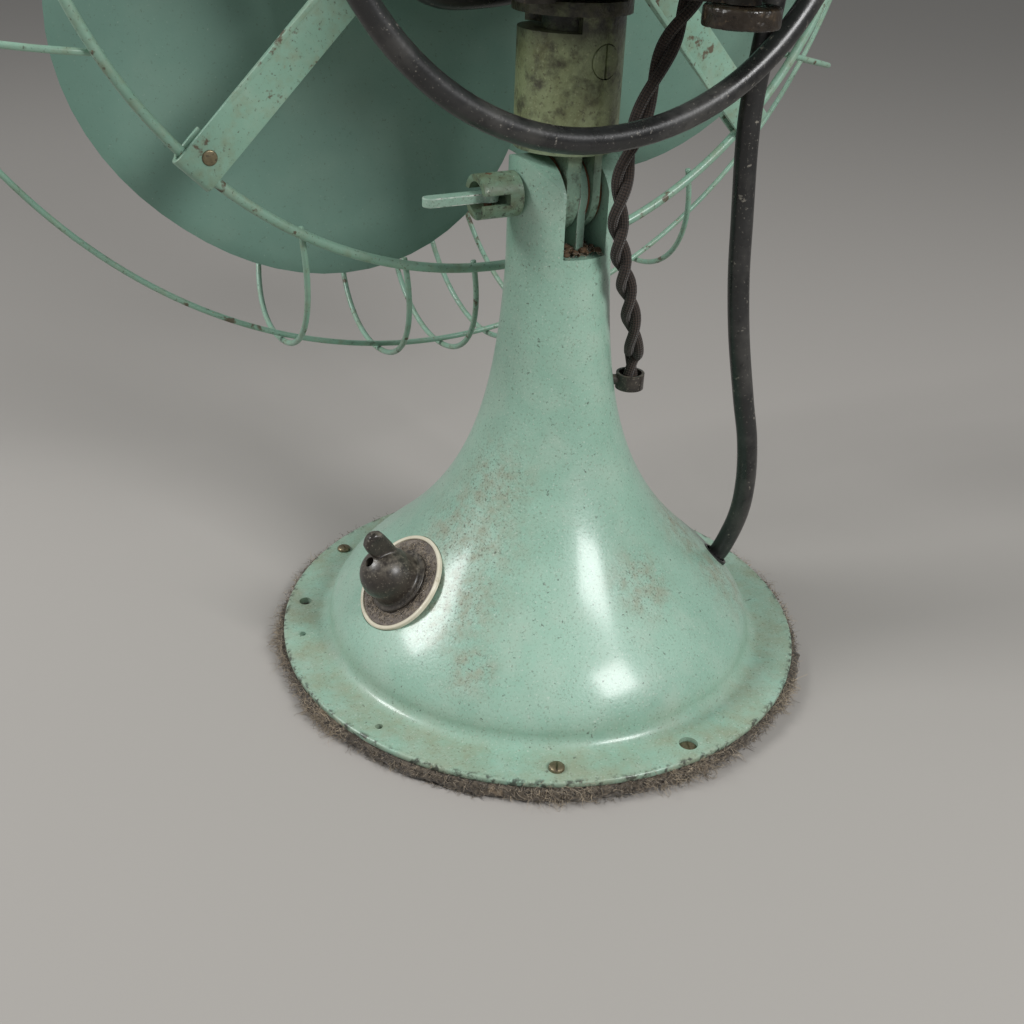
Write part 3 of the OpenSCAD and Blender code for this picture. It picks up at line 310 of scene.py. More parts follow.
# Where dirt gathers on the bell, above and beside the dial and on the cord's side: x, y, z and radius.
BELL_SPOTS = (
    (42, 14, 60, 36), (52, 26, 44, 30), (30, 12, 78, 24), (-50, 24, 50, 30), (-62, 40, 34, 30), (-12, 52, 48,
                                                                                                 20),
    (55, 47, 28, 14))
# Sea-green stove enamel on cast iron: a soft gloss over orange peel, freckled with dust and dirt.
ENAMEL = Finish(
    "sea_green_enamel", "#87AC99", "#95B9A6", tone_grain=38, rough=0.4, rough_spread=0.08, coat=0.42,
    coat_rough=0.17, bump_grain=1.2, bump=0.07,
    layers=(
        Layer("#A9BCAC", 15, 0.46, 0.72, 0.45, 0.5),
        Layer("#8C8A6E", 12, 0.3, 0.66, 0.62, 0.75, Mask(Where.RADIUS, 80, 87)),
        Layer("#8F8771", 5, 0.4, 0.66, 0.65, 0.75, Mask(Where.SPOTS, spots=BELL_SPOTS), detail=6),
        Layer("#443D33", 0.8, 0.54, 0.66, 0.8, 0.7, Mask(Where.SPOTS, spots=BELL_SPOTS), detail=7),
        Layer("#63624F", 0.8, 0.56, 0.67, 0.5, 0.65, detail=7),
        Layer("#3F4138", 1.7, 0.65, 0.7, 0.7, 0.6),
        Layer("#CBD3C8", 0.8, 0.6, 0.7, 0.45, 0.5),
        Layer("#2E2E26", 3.0, 0.5, 0.61, 0.85, 0.7, Mask(Where.RADIUS, 98.0, 99.5)),
    ))
# Where the enamel runs over an edge it is rubbed to pale primer and chipped to brown iron.
CHIPPED_EDGE = Finish(
    "rubbed_enamel_edge", "#8FAE9D", "#A9BDAF", tone_grain=9, rough=0.42, bump_grain=1.0, bump=0.06,
    layers=(
        Layer("#D3D8CE", 3.5, 0.48, 0.6, 0.8, 0.4),
        Layer("#4A4032", 1.6, 0.57, 0.65, 0.85, 0.75),
        Layer("#7A5A41", 4.0, 0.6, 0.68, 0.8, 0.8),
    ))
# The turned barrel of the clamp is handled most: olive grime on the enamel, bright steel in scratches.
HANDLED_ENAMEL = Finish(
    "handled_enamel", "#74907C", "#66795F", tone_grain=8, rough=0.4, coat=0.15, coat_rough=0.25,
    bump_grain=1.0, bump=0.08,
    layers=(
        Layer("#54573C", 6, 0.42, 0.66, 0.75, 0.55),
        Layer("#2C2A1E", 1.6, 0.56, 0.66, 0.8, 0.65),
        Layer("#B9B7A6", 1.2, 0.64, 0.7, 0.75, 0.35, metallic=0.7),
    ))
# The neck stands under the oiler: yellowed, dull enamel, black at the top, still green at the tongues.
OILY_ENAMEL = Finish(
    "oil_stained_enamel", "#737C57", "#87916B", tone_grain=16, rough=0.38, coat=0.3, coat_rough=0.25,
    bump_grain=1.5, bump=0.2,
    layers=(
        Layer("#55552F", 9, 0.44, 0.7, 0.75, 0.5),
        Layer("#7C9D8B", 24, 0.0, 0.2, 0.85, 0.42, Mask(Where.HEIGHT, 193, 184)),
        Layer("#3A3220", 1.6, 0.58, 0.68, 0.7, 0.6),
        Layer("#B0B48C", 1.0, 0.6, 0.72, 0.55, 0.35),
        Layer("#2B2417", 7, 0.52, 0.7, 0.85, 0.55),
        Layer("#17140E", 7, 0.3, 0.5, 0.93, 0.4, Mask(Where.HEIGHT, 220, 229)),
    ))
# The swivel casting above it is caked with oil and dust, almost black, with the enamel grinning through.
CAKED_ENAMEL = Finish(
    "oil_caked_enamel", "#2C2A1D", "#403E2A", tone_grain=9, rough=0.4, rough_spread=0.14, bump_grain=1.8,
    bump=0.2,
    layers=(
        Layer("#68704F", 12, 0.56, 0.72, 0.7, 0.45),
        Layer("#15120C", 3.0, 0.52, 0.66, 0.85, 0.3),
        Layer("#7A6A4F", 1.1, 0.64, 0.72, 0.6, 0.8),
    ))
# The same enamel on the guard's steel wire and straps, chipped to brown rust where hands rubbed it.
GUARD_ENAMEL = Finish(
    "chipped_guard_enamel", "#799D8A", "#89AC98", tone_grain=30, rough=0.4, coat=0.2, coat_rough=0.2,
    bump_grain=1.0, bump=0.05,
    layers=(
        Layer("#9AA692", 12, 0.52, 0.75, 0.45, 0.55),
        Layer("#7C8468", 5, 0.48, 0.7, 0.5, 0.65),
        Layer("#54412F", 8, 0.62, 0.67, 0.9, 0.75, dent=-0.6),
        Layer("#3E3A2D", 1.2, 0.6, 0.7, 0.75, 0.7),
        Layer("#8A5B3B", 2.2, 0.68, 0.74, 0.8, 0.8),
    ))
# The same colour sprayed thin on the pressed blades: satin, even, with a film of dust on the rear faces.
BLADE_ENAMEL = Finish(
    "satin_blade_enamel", "#628376", "#6F9182", tone_grain=90, rough=0.46, rough_spread=0.05, coat=0.08,
    coat_rough=0.3, bump_grain=1.8, bump=0.015,
    layers=(
        Layer("#83998A", 40, 0.45, 0.75, 0.35, 0.6),
        Layer("#4A5548", 1.0, 0.62, 0.7, 0.55, 0.6),
        Layer("#A9B3A3", 0.9, 0.66, 0.74, 0.45, 0.6),
    ))
# Turned mild steel gone grey, with brown freckles.
STEEL = Finish(
    "turned_steel", "#8C8984", "#7A766F", tone_grain=12, rough=0.36, metallic=1.0, bump_grain=0.8, bump=0.04,
    layers=(Layer("#4B4036", 1.6, 0.6, 0.7, 0.8, 0.6), Layer("#6B4A33", 3, 0.66, 0.74, 0.8, 0.8)))
# Steel under old oil: almost black in the gaps, a dull shine on the flats.
DARK_STEEL = Finish(
    "oil_black_steel", "#3A3630", "#2A2722", tone_grain=8, rough=0.5, metallic=0.6, bump_grain=0.9, bump=0.1,
    layers=(Layer("#5C4A35", 2.2, 0.56, 0.68, 0.8, 0.75), Layer("#6F675A", 1.4, 0.66, 0.74, 0.6, 0.6)))
# Bare rivets and pins that rusted through their paint.
RUST = Finish(
    "rusted_steel", "#5A3E2B", "#6E4B32", tone_grain=3, rough=0.75, bump_grain=0.7, bump=0.2,
    layers=(Layer("#37271C", 1.1, 0.5, 0.66, 0.8, 0.85), Layer("#8C6A48", 1.6, 0.62, 0.72, 0.7, 0.8)))
# Plated brass screw heads, tarnished to a dull olive brown with dirt in the slot.
TARNISH = Finish(
    "tarnished_screw_plate", "#8D8268", "#6F6650", tone_grain=3, rough=0.45, metallic=0.8, bump_grain=0.6,
    bump=0.08,
    layers=(Layer("#3B3326", 1.0, 0.52, 0.66, 0.8, 0.7), Layer("#B3A888", 0.8, 0.66, 0.74, 0.6, 0.35,
            metallic=0.9)))
# Compression-moulded phenolic: black-brown with a soft gloss; its upward faces are lightened by a pale film
# that is partly dust and partly a painted highlight.
BAKELITE = Finish(
    "black_phenolic", "#26221E", "#302A25", tone_grain=14, rough=0.34, coat=0.2, coat_rough=0.2,
    bump_grain=1.4, bump=0.04,
    layers=(
        # Dust with painted highlight: the pale film on upward faces is laid thicker than the dust alone, so
        # that the tops look lit from above.
        Layer("#827A6C", 2.2, 0.42, 0.68, 0.6, 0.75, Mask(Where.UPWARD, 0.1, 0.9)),
        Layer("#968D7D", 0.8, 0.58, 0.68, 0.55, 0.8),
        Layer("#4A433A", 5, 0.48, 0.7, 0.5, 0.6),
    ))
# The dial's black plate lies under a brown felt of dust.
DIAL_BLACK = Finish(
    "dusty_dial_plate", "#544C46", "#675E56", tone_grain=5, rough=0.6, bump_grain=0.7, bump=0.1,
    layers=(
        Layer("#958A7D", 3.2, 0.42, 0.68, 0.75, 0.85),
        Layer("#2A2521", 1.4, 0.58, 0.68, 0.8, 0.7),
        Layer("#A3978A", 0.8, 0.64, 0.72, 0.7, 0.85),
    ))
# The dial's rim: ivory celluloid with a brown line of dirt.
DIAL_CREAM = Finish(
    "ivory_celluloid", "#D9D3BF", "#CBC3AC", tone_grain=6, rough=0.38, coat=0.15, bump_grain=1.0, bump=0.02,
    layers=(Layer("#8F8468", 2.4, 0.6, 0.74, 0.6, 0.7),))
# Vulcanised cord rubber: dull black with grey bloom and scuffs.
RUBBER = Finish(
    "black_cord_rubber", "#1A1A1A", "#282828", tone_grain=18, rough=0.31, rough_spread=0.08, bump_grain=1.0,
    bump=0.03,
    layers=(
        Layer("#55534F", 20, 0.5, 0.72, 0.55, 0.45),
        Layer("#8B867D", 1.0, 0.63, 0.71, 0.6, 0.7),
        Layer("#A29C90", 3.4, 0.66, 0.72, 0.6, 0.6),
        Layer("#0E0E0E", 3.0, 0.6, 0.7, 0.7, 0.3),
    ))
# Vulcanised fibre washers: red-brown, fuzzy at the edge.
FIBRE = Finish(
    "vulcanised_fibre", "#6B4530", "#7C553B", tone_grain=4, rough=0.7, bump_grain=0.5, bump=0.2,
    layers=(Layer("#3A281C", 1.4, 0.55, 0.68, 0.8, 0.8), Layer("#9C7C5C", 1.0, 0.64, 0.74, 0.7, 0.8)))
# Pressed wool felt, drawn a little coarser than real so that its tangle shows.
FELT = Finish(
    "grey_brown_felt", "#4C443A", "#62584B", tone_grain=7, rough=0.92, rough_spread=0.04, sheen=0.3,
    bump_grain=0.7, bump=0.25, bump_detail=6,
    layers=(
        Layer("#241F1A", 1.6, 0.46, 0.6, 0.85, 0.95),
        Layer("#8E8170", 1.0, 0.6, 0.7, 0.75, 0.95),
        Layer("#AB957A", 16, 0.62, 0.74, 0.7, 0.95),
    ))
# Iron sheets stacked into cores: fine dark lines, drawn at about one millimetre so that they show.
LAMINATION = Finish(
    "stacked_iron_sheet", "#5F5C57", "#4B4844", tone_grain=10, rough=0.45, metallic=0.9, bump_grain=0.9,
    bump=0.12,
    stretch=(0.2, 1.0, 0.2), layers=(Layer("#3A2F26", 1.0, 0.56, 0.66, 0.8, 0.7),))
# Enamelled copper wire under amber varnish.
COPPER = Finish(
    "varnished_copper", "#8A4B28", "#A05C30", tone_grain=6, rough=0.35, metallic=0.7, coat=0.4,
    coat_rough=0.15, bump_grain=0.9,
    bump=0.2, stretch=(0.35, 1.0, 0.35), layers=(Layer("#4A2A17", 1.2, 0.56, 0.66, 0.7, 0.5),))
# Cast bearing bronze.
BRONZE = Finish(
    "cast_bronze", "#8F6C3A", "#7A5A2F", tone_grain=8, rough=0.4, metallic=1.0, bump_grain=0.8, bump=0.06,
    layers=(Layer("#4A3A22", 1.6, 0.58, 0.7, 0.8, 0.6),))
# Turned brass plug pins.
BRASS = Finish(
    "turned_brass", "#B59552", "#A08145", tone_grain=6, rough=0.3, metallic=1.0, bump_grain=0.8, bump=0.03,
    layers=(Layer("#6B5530", 2.0, 0.6, 0.72, 0.7, 0.5),))
# Iron cap caked in years of grease and lint: lumpy, black-brown, wet in the hollows.
GREASE = Finish(
    "grease_caked_iron", "#1F1913", "#2E251B", tone_grain=5, rough=0.3, rough_spread=0.12, bump_grain=1.6,
    bump=0.12,
    layers=(
        Layer("#4E3F2C", 2.6, 0.56, 0.68, 0.7, 0.6),
        Layer("#7A6A4F", 1.0, 0.66, 0.74, 0.6, 0.8),
        Layer("#0F0C09", 3.2, 0.56, 0.68, 0.8, 0.2),
    ))
# Dirt that fell into the fork and dried there: brown, dull, crumbly.
CAKED_DIRT = Finish(
    "caked_dirt", "#463525", "#5C4732", tone_grain=2.5, rough=0.95, rough_spread=0.03, bump_grain=0.5,
    bump=0.25,
    layers=(Layer("#2E241A", 1.1, 0.52, 0.64, 0.8, 0.95), Layer("#9A8365", 0.8, 0.6, 0.7, 0.7, 0.95)))


@dataclass(frozen=True)
class CottonBraid(Surface):
    """Brown cotton braid: two sets of threads cross on the cord's UV map, which counts millimetres."""

    name: str = "brown_cotton_braid"
    light: str = "#4A392D"
    dark: str = "#120D0A"
    thread: float = 0.9

    def sockets(self, tree: Tree) -> dict:
        """Builds the crossing threads."""
        coords = add(tree, "ShaderNodeTexCoord")
        split = add(tree, "ShaderNodeSeparateXYZ", {0: coords.outputs["UV"]})
        waves = []
        for sign in (1.0, -1.0):
            slant = maths(tree, "MULTIPLY_ADD", split.outputs["X"], sign, split.outputs["Y"])
            waves.append(maths(tree, "SINE", maths(tree, "MULTIPLY", slant, math.pi / self.thread)))
        height = ranged(tree, maths(tree, "MULTIPLY", *waves), -0.8, 0.8)
        fuzz = speckle(tree, coords.outputs["Object"], 3.0, 5.0)
        colour = mixed(tree, maths(tree, "MULTIPLY", height, fuzz), linear(self.dark), linear(self.light))
        bump = add(tree, "ShaderNodeBump", {"Height": height, "Strength": 0.8, "Distance": 0.35 * MM})
        return {"Base Color": colour, "Normal": bump.outputs[0], "Roughness": 0.85, "Sheen Weight": 0.15}


@dataclass(frozen=True)
class Lint(Surface):
    """Loose fibre and dust: each strand has its own tone, held in the mesh attribute strand_tone."""

    name: str = "loose_lint"
    dark: str = "#3A332B"
    pale: str = "#B9A88F"

    def sockets(self, tree: Tree) -> dict:
        """Builds the strands' tones."""
        tone = add(tree, "ShaderNodeAttribute", attribute_name="strand_tone").outputs["Fac"]
        coords = add(tree, "ShaderNodeTexCoord")
        patch = speckle(tree, coords.outputs["Object"], 9.0, 3.0)
        fade = ranged(tree, maths(tree, "MULTIPLY_ADD", patch, 0.5, tone), 0.25, 1.25)
        colour = mixed(tree, fade, linear(self.dark), linear(self.pale))
        return {"Base Color": colour, "Roughness": 0.95, "Sheen Weight": 0.3}


def clear_selection() -> None:
    """Deselects everything in object mode, so that an operator meets only what it adds."""
    if bpy.context.object and bpy.context.object.mode != "OBJECT":
        bpy.ops.object.mode_set(mode="OBJECT")
    bpy.ops.object.select_all(action="DESELECT")


def focus(obj: Piece) -> None:
    """Leaves only this object selected and active, in object mode."""
    clear_selection()
    obj.select_set(True)
    bpy.context.view_layer.objects.active = obj


@contextmanager
def editing(obj: Piece) -> Iterator[None]:
    """Opens a piece in edit mode with everything selected, and closes it again."""
    focus(obj)
    bpy.ops.object.mode_set(mode="EDIT")
    bpy.ops.mesh.select_all(action="SELECT")
    yield
    bpy.ops.object.mode_set(mode="OBJECT")


def link(obj: Piece) -> Piece:
    """Puts an object into the scene."""
    bpy.context.scene.collection.objects.link(obj)
    return obj


def turned(degrees: float) -> Matrix:
    """Gives a turn about the Z axis."""
    return Matrix.Rotation(math.radians(degrees), 4, "Z")


def quarter_turn(steps: int) -> list[float]:
    """Lists the angles of a quarter turn, in radians."""
    return [math.pi / 2 * k / steps for k in range(steps + 1)]


def modify(obj: Piece, kind: str, **settings) -> None:
    """Adds a modifier and applies it.

    Args:
        obj: the object to change.
        kind: the modifier's type name.
        settings: its properties.
    """
    focus(obj)
    made = obj.modifiers.new(kind.lower(), kind)
    for key, value in settings.items():
        setattr(made, key, value)
    bpy.ops.object.modifier_apply(modifier=made.name)


def smooth(obj: Piece, degrees: float = 35.0) -> Piece:
    """Shades a piece smooth, with edges sharper than the angle kept crisp."""
    focus(obj)
    bpy.ops.object.shade_smooth_by_angle(angle=math.radians(degrees))
    return obj


def ease_edges(obj: Piece, width: float, segments: int = 2, degrees: float = 35.0,
               slot: int = -1) -> Piece:
    """Rounds a piece's sharp edges.

    Args:
        obj: the piece.
        width: the rounding in millimetres.
        segments: how many faces it has.
        degrees: the least angle of an edge that is rounded.
        slot: the material slot of the rounding, or -1 for the neighbours' own.

    Returns:
        The piece.
    """
    modify(obj, "BEVEL", width=width * MM, segments=segments, limit_method="ANGLE",
           angle_limit=math.radians(degrees),
           use_clamp_overlap=True, miter_outer="MITER_ARC", material=slot)
    return smooth(obj, degrees)


def tidy_mesh(obj: Piece) -> None:
    """Merges doubled points and turns the faces outwards."""
    with editing(obj):
        bpy.ops.mesh.remove_doubles(threshold=MERGE_GAP)
        bpy.ops.mesh.normals_make_consistent(inside=False)


def cut(obj: Piece, tool: Piece, operation: str = "DIFFERENCE") -> None:
    """Cuts a piece with a tool, or joins the two, and removes the tool."""
    modify(obj, "BOOLEAN", object=tool, operation=operation, solver="EXACT")
    bpy.data.objects.remove(tool)


def new_object(name: str, points: list, edges: list = (), faces: list = ()) -> Piece:
    """Makes a mesh object from points in metres.

    Args:
        name: the object's name.
        points: the vertices.
        edges: pairs of vertex numbers.
        faces: loops of vertex numbers.

    Returns:
        The new object, linked to the scene.
    """
    mesh = bpy.data.meshes.new(name)
    mesh.from_pydata([tuple(p) for p in points], list(edges), list(faces))
    return link(bpy.data.objects.new(name, mesh))


def spun(name: str, profile: list[tuple[float, float]], steps: int = 128, closed: bool = False) -> Piece:
    """Turns a profile round the Z axis with the spin operator.

    Args:
        name: the object's name.
        profile: radius and height of each point, in millimetres.
        steps: how many steps make the full turn.
        closed: whether the last point joins the first.

    Returns:
        The turned solid.
    """
    count = len(profile)
    edges = [(i, (i + 1) % count) for i in range(count if closed else count - 1)]
    obj = new_object(name, [(r * MM, 0, z * MM) for r, z in profile], edges)
    with editing(obj):
        bpy.ops.mesh.spin(steps=steps, angle=2 * math.pi, center=(0, 0, 0), axis=(0, 0, 1))
    tidy_mesh(obj)
    return obj


def rod(name: str, radius: float, start: float, end: float, place: Matrix, sides: int = 48) -> Piece:
    """Adds a round bar along its own Z, from start to end in millimetres, in a placed frame."""
    clear_selection()
    bpy.ops.mesh.primitive_cylinder_add(vertices=sides, radius=radius * MM, depth=(end - start) * MM,
                                        location=(0, 0, (start + end) / 2 * MM))
    obj = bpy.context.object
    obj.name = name
    bpy.ops.object.transform_apply(location=True, rotation=True, scale=True)
    obj.data.transform(place)
    return obj


def slab(name: str, low: tuple[float, float, float], high: tuple[float, float, float]) -> Piece:
    """Adds a box between two corners, in millimetres."""
    clear_selection()
    middle = [(a + b) / 2 * MM for a, b in zip(low, high)]
    bpy.ops.mesh.primitive_cube_add(size=1, location=middle)
    obj = bpy.context.object
    obj.name = name
    obj.scale = [(b - a) * MM for a, b in zip(low, high)]
    bpy.ops.object.transform_apply(location=True, rotation=True, scale=True)
    return obj


def joined(name: str, parts: list[Piece]) -> Piece:
    """Joins objects into the first one and renames it."""
    focus(parts[0])
    for part in parts[1:]:
        part.select_set(True)
    if len(parts) > 1:
        bpy.ops.object.join()
    parts[0].name = name
    return parts[0]


def copied(obj: Piece, place: Matrix, name: str) -> Piece:
    """Copies a piece with its own mesh to another place."""
    twin = obj.copy()
    twin.data = obj.data.copy()
    twin.name = name
    twin.data.transform(place)
    return link(twin)


def sloped(az: float, radius: float, z: float, el: float) -> Matrix:
    """Gives the frame of a fitting on the bell.

    Args:
        az: direction round the column in degrees.
        radius: distance from the column's axis in millimetres.
        z: height in millimetres.
        el: slope of the fitting's axis above the level in degrees.

    Returns:
        The matrix whose Z axis is the fitting's axis.
    """
    return (turned(az) @ Matrix.Translation((radius * MM, 0, z * MM))
            @ Matrix.Rotation(math.radians(90 - el), 4, "Y"))


def coat(obj: Piece, *finishes: Surface) -> None:
    """Fills a piece's material slots, with every face in the first."""
    obj.data.materials.clear()
    for finish in finishes:
        obj.data.materials.append(finish.build())
    obj.data.polygons.foreach_set("material_index", [0] * len(obj.data.polygons))


def dress(obj: Piece, finish: Surface, *nodes: str, body: str = "") -> Piece:
    """Gives a piece its finish, its body and the frame nodes it stands for.

    Args:
        obj: the piece.
        finish: its surface.
        nodes: the frame nodes that it replaces.
        body: the body it rides on, where it replaces none.

    Returns:
        The piece.
    """
    if finish.name not in obj.data.materials:
        coat(obj, finish)
    if "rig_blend" not in obj:
        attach(obj, body or BODIES[nodes[0]])
    if nodes:
        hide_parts(*nodes)
    LOG.info("%s: %d faces", obj.name, len(obj.data.polygons) if obj.type == "MESH" else 0)
    return obj


def refined(node: str, width: float = 0.35, degrees: float = 35.0, segments: int = 2) -> Piece:
    """Copies a frame node, merges its triangles into whole faces and rounds its edges.

    Args:
        node: the frame node.
        width: the rounding in millimetres.
        degrees: the least angle of an edge that is rounded.
        segments: how many faces the rounding has.

    Returns:
        The finished copy.
    """
    obj = frame["nodes"][node].copy()
    obj.data = obj.data.copy()
    obj.parent = None
    obj.name = node + "_finish"
    for key in list(obj.keys()):
        del obj[key]
    focus(link(obj))
    bpy.ops.mesh.customdata_custom_splitnormals_clear()
    with editing(obj):
        bpy.ops.mesh.remove_doubles(threshold=FRAME_MERGE_GAP)
        bpy.ops.mesh.dissolve_limited(angle_limit=FLAT_ANGLE)
    return ease_edges(obj, width, segments, degrees) if width else smooth(obj, degrees)


def worn(node: str, width: float, finish: Finish, edge: Finish) -> Piece:
    """Copies a frame node and rounds its edges in a finish of their own.

    Args:
        node: the frame node.
        width: the rounding in millimetres.
        finish: the surface of its faces.
        edge: the surface of its rounded edges.

    Returns:
        The finished copy.
    """
    obj = refined(node, 0)
    coat(obj, finish, edge)
    return ease_edges(obj, width, slot=1)


def refine_all(parts: tuple[tuple[str, float, Finish], ...]) -> None:
    """Refines frame nodes, each given as its name, its rounding in millimetres and its surface."""
    for node, width, finish in parts:
        dress(refined(node, width), finish, node)


@dataclass
class Fibres:
    """A growing mesh of loose fibres, each three-sided and with its own tone."""

    points: list[Vector] = field(default_factory=list)
    faces: list[tuple[int, ...]] = field(default_factory=list)
    tones: list[float] = field(default_factory=list)

    def add(self, route: list[Vector], radius: float, tone: float) -> None:
        """Adds one fibre.

        Args:
            route: its centre line in metres.
            radius: its radius in millimetres.
            tone: its own tone from 0 to 1.
        """
        first = len(self.points)
        for i, p in enumerate(route):
            tangent = (route[min(i + 1, len(route) - 1)] - route[max(i - 1, 0)]).normalized()
            a = tangent.orthogonal().normalized()
            b = tangent.cross(a)
            thick = radius * MM * (1 - 0.6 * i / (len(route) - 1))
            for k in range(3):
                angle = 2 * math.pi * k / 3
                self.points.append(p + (a * math.cos(angle) + b * math.sin(angle)) * thick)
                self.tones.append(tone)
        for i in range(len(route) - 1):
            for k in range(3):
                m = (k + 1) % 3
                self.faces.append((first + 3 * i + k, first + 3 * i + m, first + 3 * i + 3 + m, first + 3 * i
                                   + 3 + k))

    def curl(self, chance: random.Random, start: Vector, heading: Vector, step: float,
             wild: float) -> list[Vector]:
        """Lets a fibre wander from its start.

        Args:
            chance: the seeded source of numbers.
            start: where it starts, in metres.
            heading: where it first goes.
            step: how far each of its five steps goes, in millimetres.
            wild: how much it turns at each step.

        Returns:
            Its centre line in metres.
        """
        route = [start]
        for _ in range(5):
            turn = Vector((chance.gauss(0, wild), chance.gauss(0, wild), chance.gauss(-0.05, 0.8 * wild)))
            heading = (heading + turn).normalized()
            route.append(route[-1] + heading * step * MM)
        return route

    def build(self, name: str) -> Piece:
        """Makes the mesh, which rides on the base.

        Args:
            name: the object's name.

        Returns:
            The dressed piece.
        """
        made = new_object(name, self.points, faces=self.faces)
        layer = made.data.attributes.new("strand_tone", "FLOAT", "POINT")
        layer.data.foreach_set("value", self.tones)
        focus(made)
        bpy.ops.object.shade_smooth()
        return dress(made, Lint(), body="base")


def crumbs(name: str, chance: random.Random, places: list[tuple[Vector, float]]) -> Piece:
    """Scatters crumbs of caked dirt, each one pressed out of shape.

    Args:
        name: the object's name.
        chance: the seeded source of numbers.
        places: each crumb's middle in metres and its radius in millimetres.

    Returns:
        The dressed piece, which rides on the base.
    """
    made = []
    for at, radius in places:
        clear_selection()
        bpy.ops.mesh.primitive_ico_sphere_add(subdivisions=2, radius=radius * MM)
        crumb = bpy.context.object
        for vertex in crumb.data.vertices:
            vertex.co *= 1 + 0.5 * noise.noise(vertex.co * 900 + at * 7000)
            vertex.co.z *= 0.7
        crumb.data.transform(Matrix.Translation(at) @ Matrix.Rotation(chance.uniform(0, 6.28), 4, "Z"))
        made.append(crumb)
    return dress(smooth(joined(name, made), 60), CAKED_DIRT, body="base")


def spline(points: list[Vector], per_span: int) -> list[Vector]:
    """Runs a smooth curve through points, as the part's own cords do.

    Args:
        points: the route.
        per_span: how many steps lie between two points.

    Returns:
        The finer route.
    """
    route = []
    last = len(points) - 1
    for i in range(last):
        a, b, c, d = points[max(i - 1, 0)], points[i], points[i + 1], points[min(i + 2, last)]
        for k in range(per_span):
            t = k / per_span
            route.append(0.5 * (2 * b + (c - a) * t + (2 * a - 5 * b + 4 * c - d) * t * t
                                + (3 * b - a - 3 * c + d) * t * t * t))
    return route + [points[-1]]


def tube(name: str, route: list[Vector], radius: float, sides: int = 16) -> Piece:
    """Sweeps a round cord along a route, with a UV map that counts millimetres round and along it.

    Args:
        name: the object's name.
        route: the centre line in metres.
        radius: the cord's radius in millimetres.
        sides: how many sides its section has.

    Returns:
        The closed tube.
    """
    points, faces, along = [], [], [0.0]
    normal = None
    for i, p in enumerate(route):
        tangent = (route[min(i + 1, len(route) - 1)] - route[max(i - 1, 0)]).normalized()
        if normal is None:
            normal = tangent.orthogonal().normalized()
        normal = (normal - tangent * normal.dot(tangent)).normalized()
        side = tangent.cross(normal)
        if i:
            along.append(along[-1] + (p - route[i - 1]).length)
        for k in range(sides):
            angle = 2 * math.pi * k / sides
            points.append(p + (normal * math.cos(angle) + side * math.sin(angle)) * radius * MM)
    for i in range(len(route) - 1):
        for k in range(sides):
            m = (k + 1) % sides
            faces.append((i * sides + k, i * sides + m, (i + 1) * sides + m, (i + 1) * sides + k))
    faces.append(tuple(reversed(range(sides))))
    faces.append(tuple(range((len(route) - 1) * sides, len(route) * sides)))
    obj = new_object(name, points, faces=faces)
    layer = obj.data.uv_layers.new(name="cord")
    girth = 2 * math.pi * radius
    for face in obj.data.polygons[:-2]:
        i, k = divmod(face.index, sides)
        for corner, (u, row) in zip(face.loop_indices, ((k, i), (k + 1, i), (k + 1, i + 1), (k, i + 1))):
            layer.data[corner].uv = (u / sides * girth, along[row] / MM)
    return smooth(obj, 50)


def bell_fade(z: float) -> float:
    """Gives the share of the bell's flare left at a height in millimetres."""
    return math.exp(-((z - BELL_FOOT_Z) / BELL_DROP) ** BELL_POWER)


def bell_radius(z: float) -> float:
    """Gives the bell's outer radius at a height, both in millimetres."""
    end = bell_fade(BELL_TOP_Z)
    return COLUMN_R + BELL_FLARE * (bell_fade(z) - end) / (1 - end)


def polar(radius: float, az: float, z: float) -> Vector:
    """Gives a point round the column, in metres, from millimetres and degrees."""
    return Vector((radius * math.cos(math.radians(az)), radius * math.sin(math.radians(az)), z)) * MM


@dataclass(frozen=True)
class Seat:
    """Where a fitting sits on the bell: direction in degrees, height in millimetres and slope in degrees."""

    az: float
    z: float
    el: float

    def frame(self) -> Matrix:
        """Gives the frame whose Z axis is the fitting's axis."""
        return sloped(self.az, bell_radius(self.z), self.z, self.el)


DIAL_SEAT = Seat(2.0, 39.0, 45.0)
CORD_SEAT = Seat(161.0, 29.5, 52.0)
# The bush that takes the motor lead: its distance from the column's axis, its direction and its height.
LEAD_BUSH = (29.0, 160.0, 107.0)


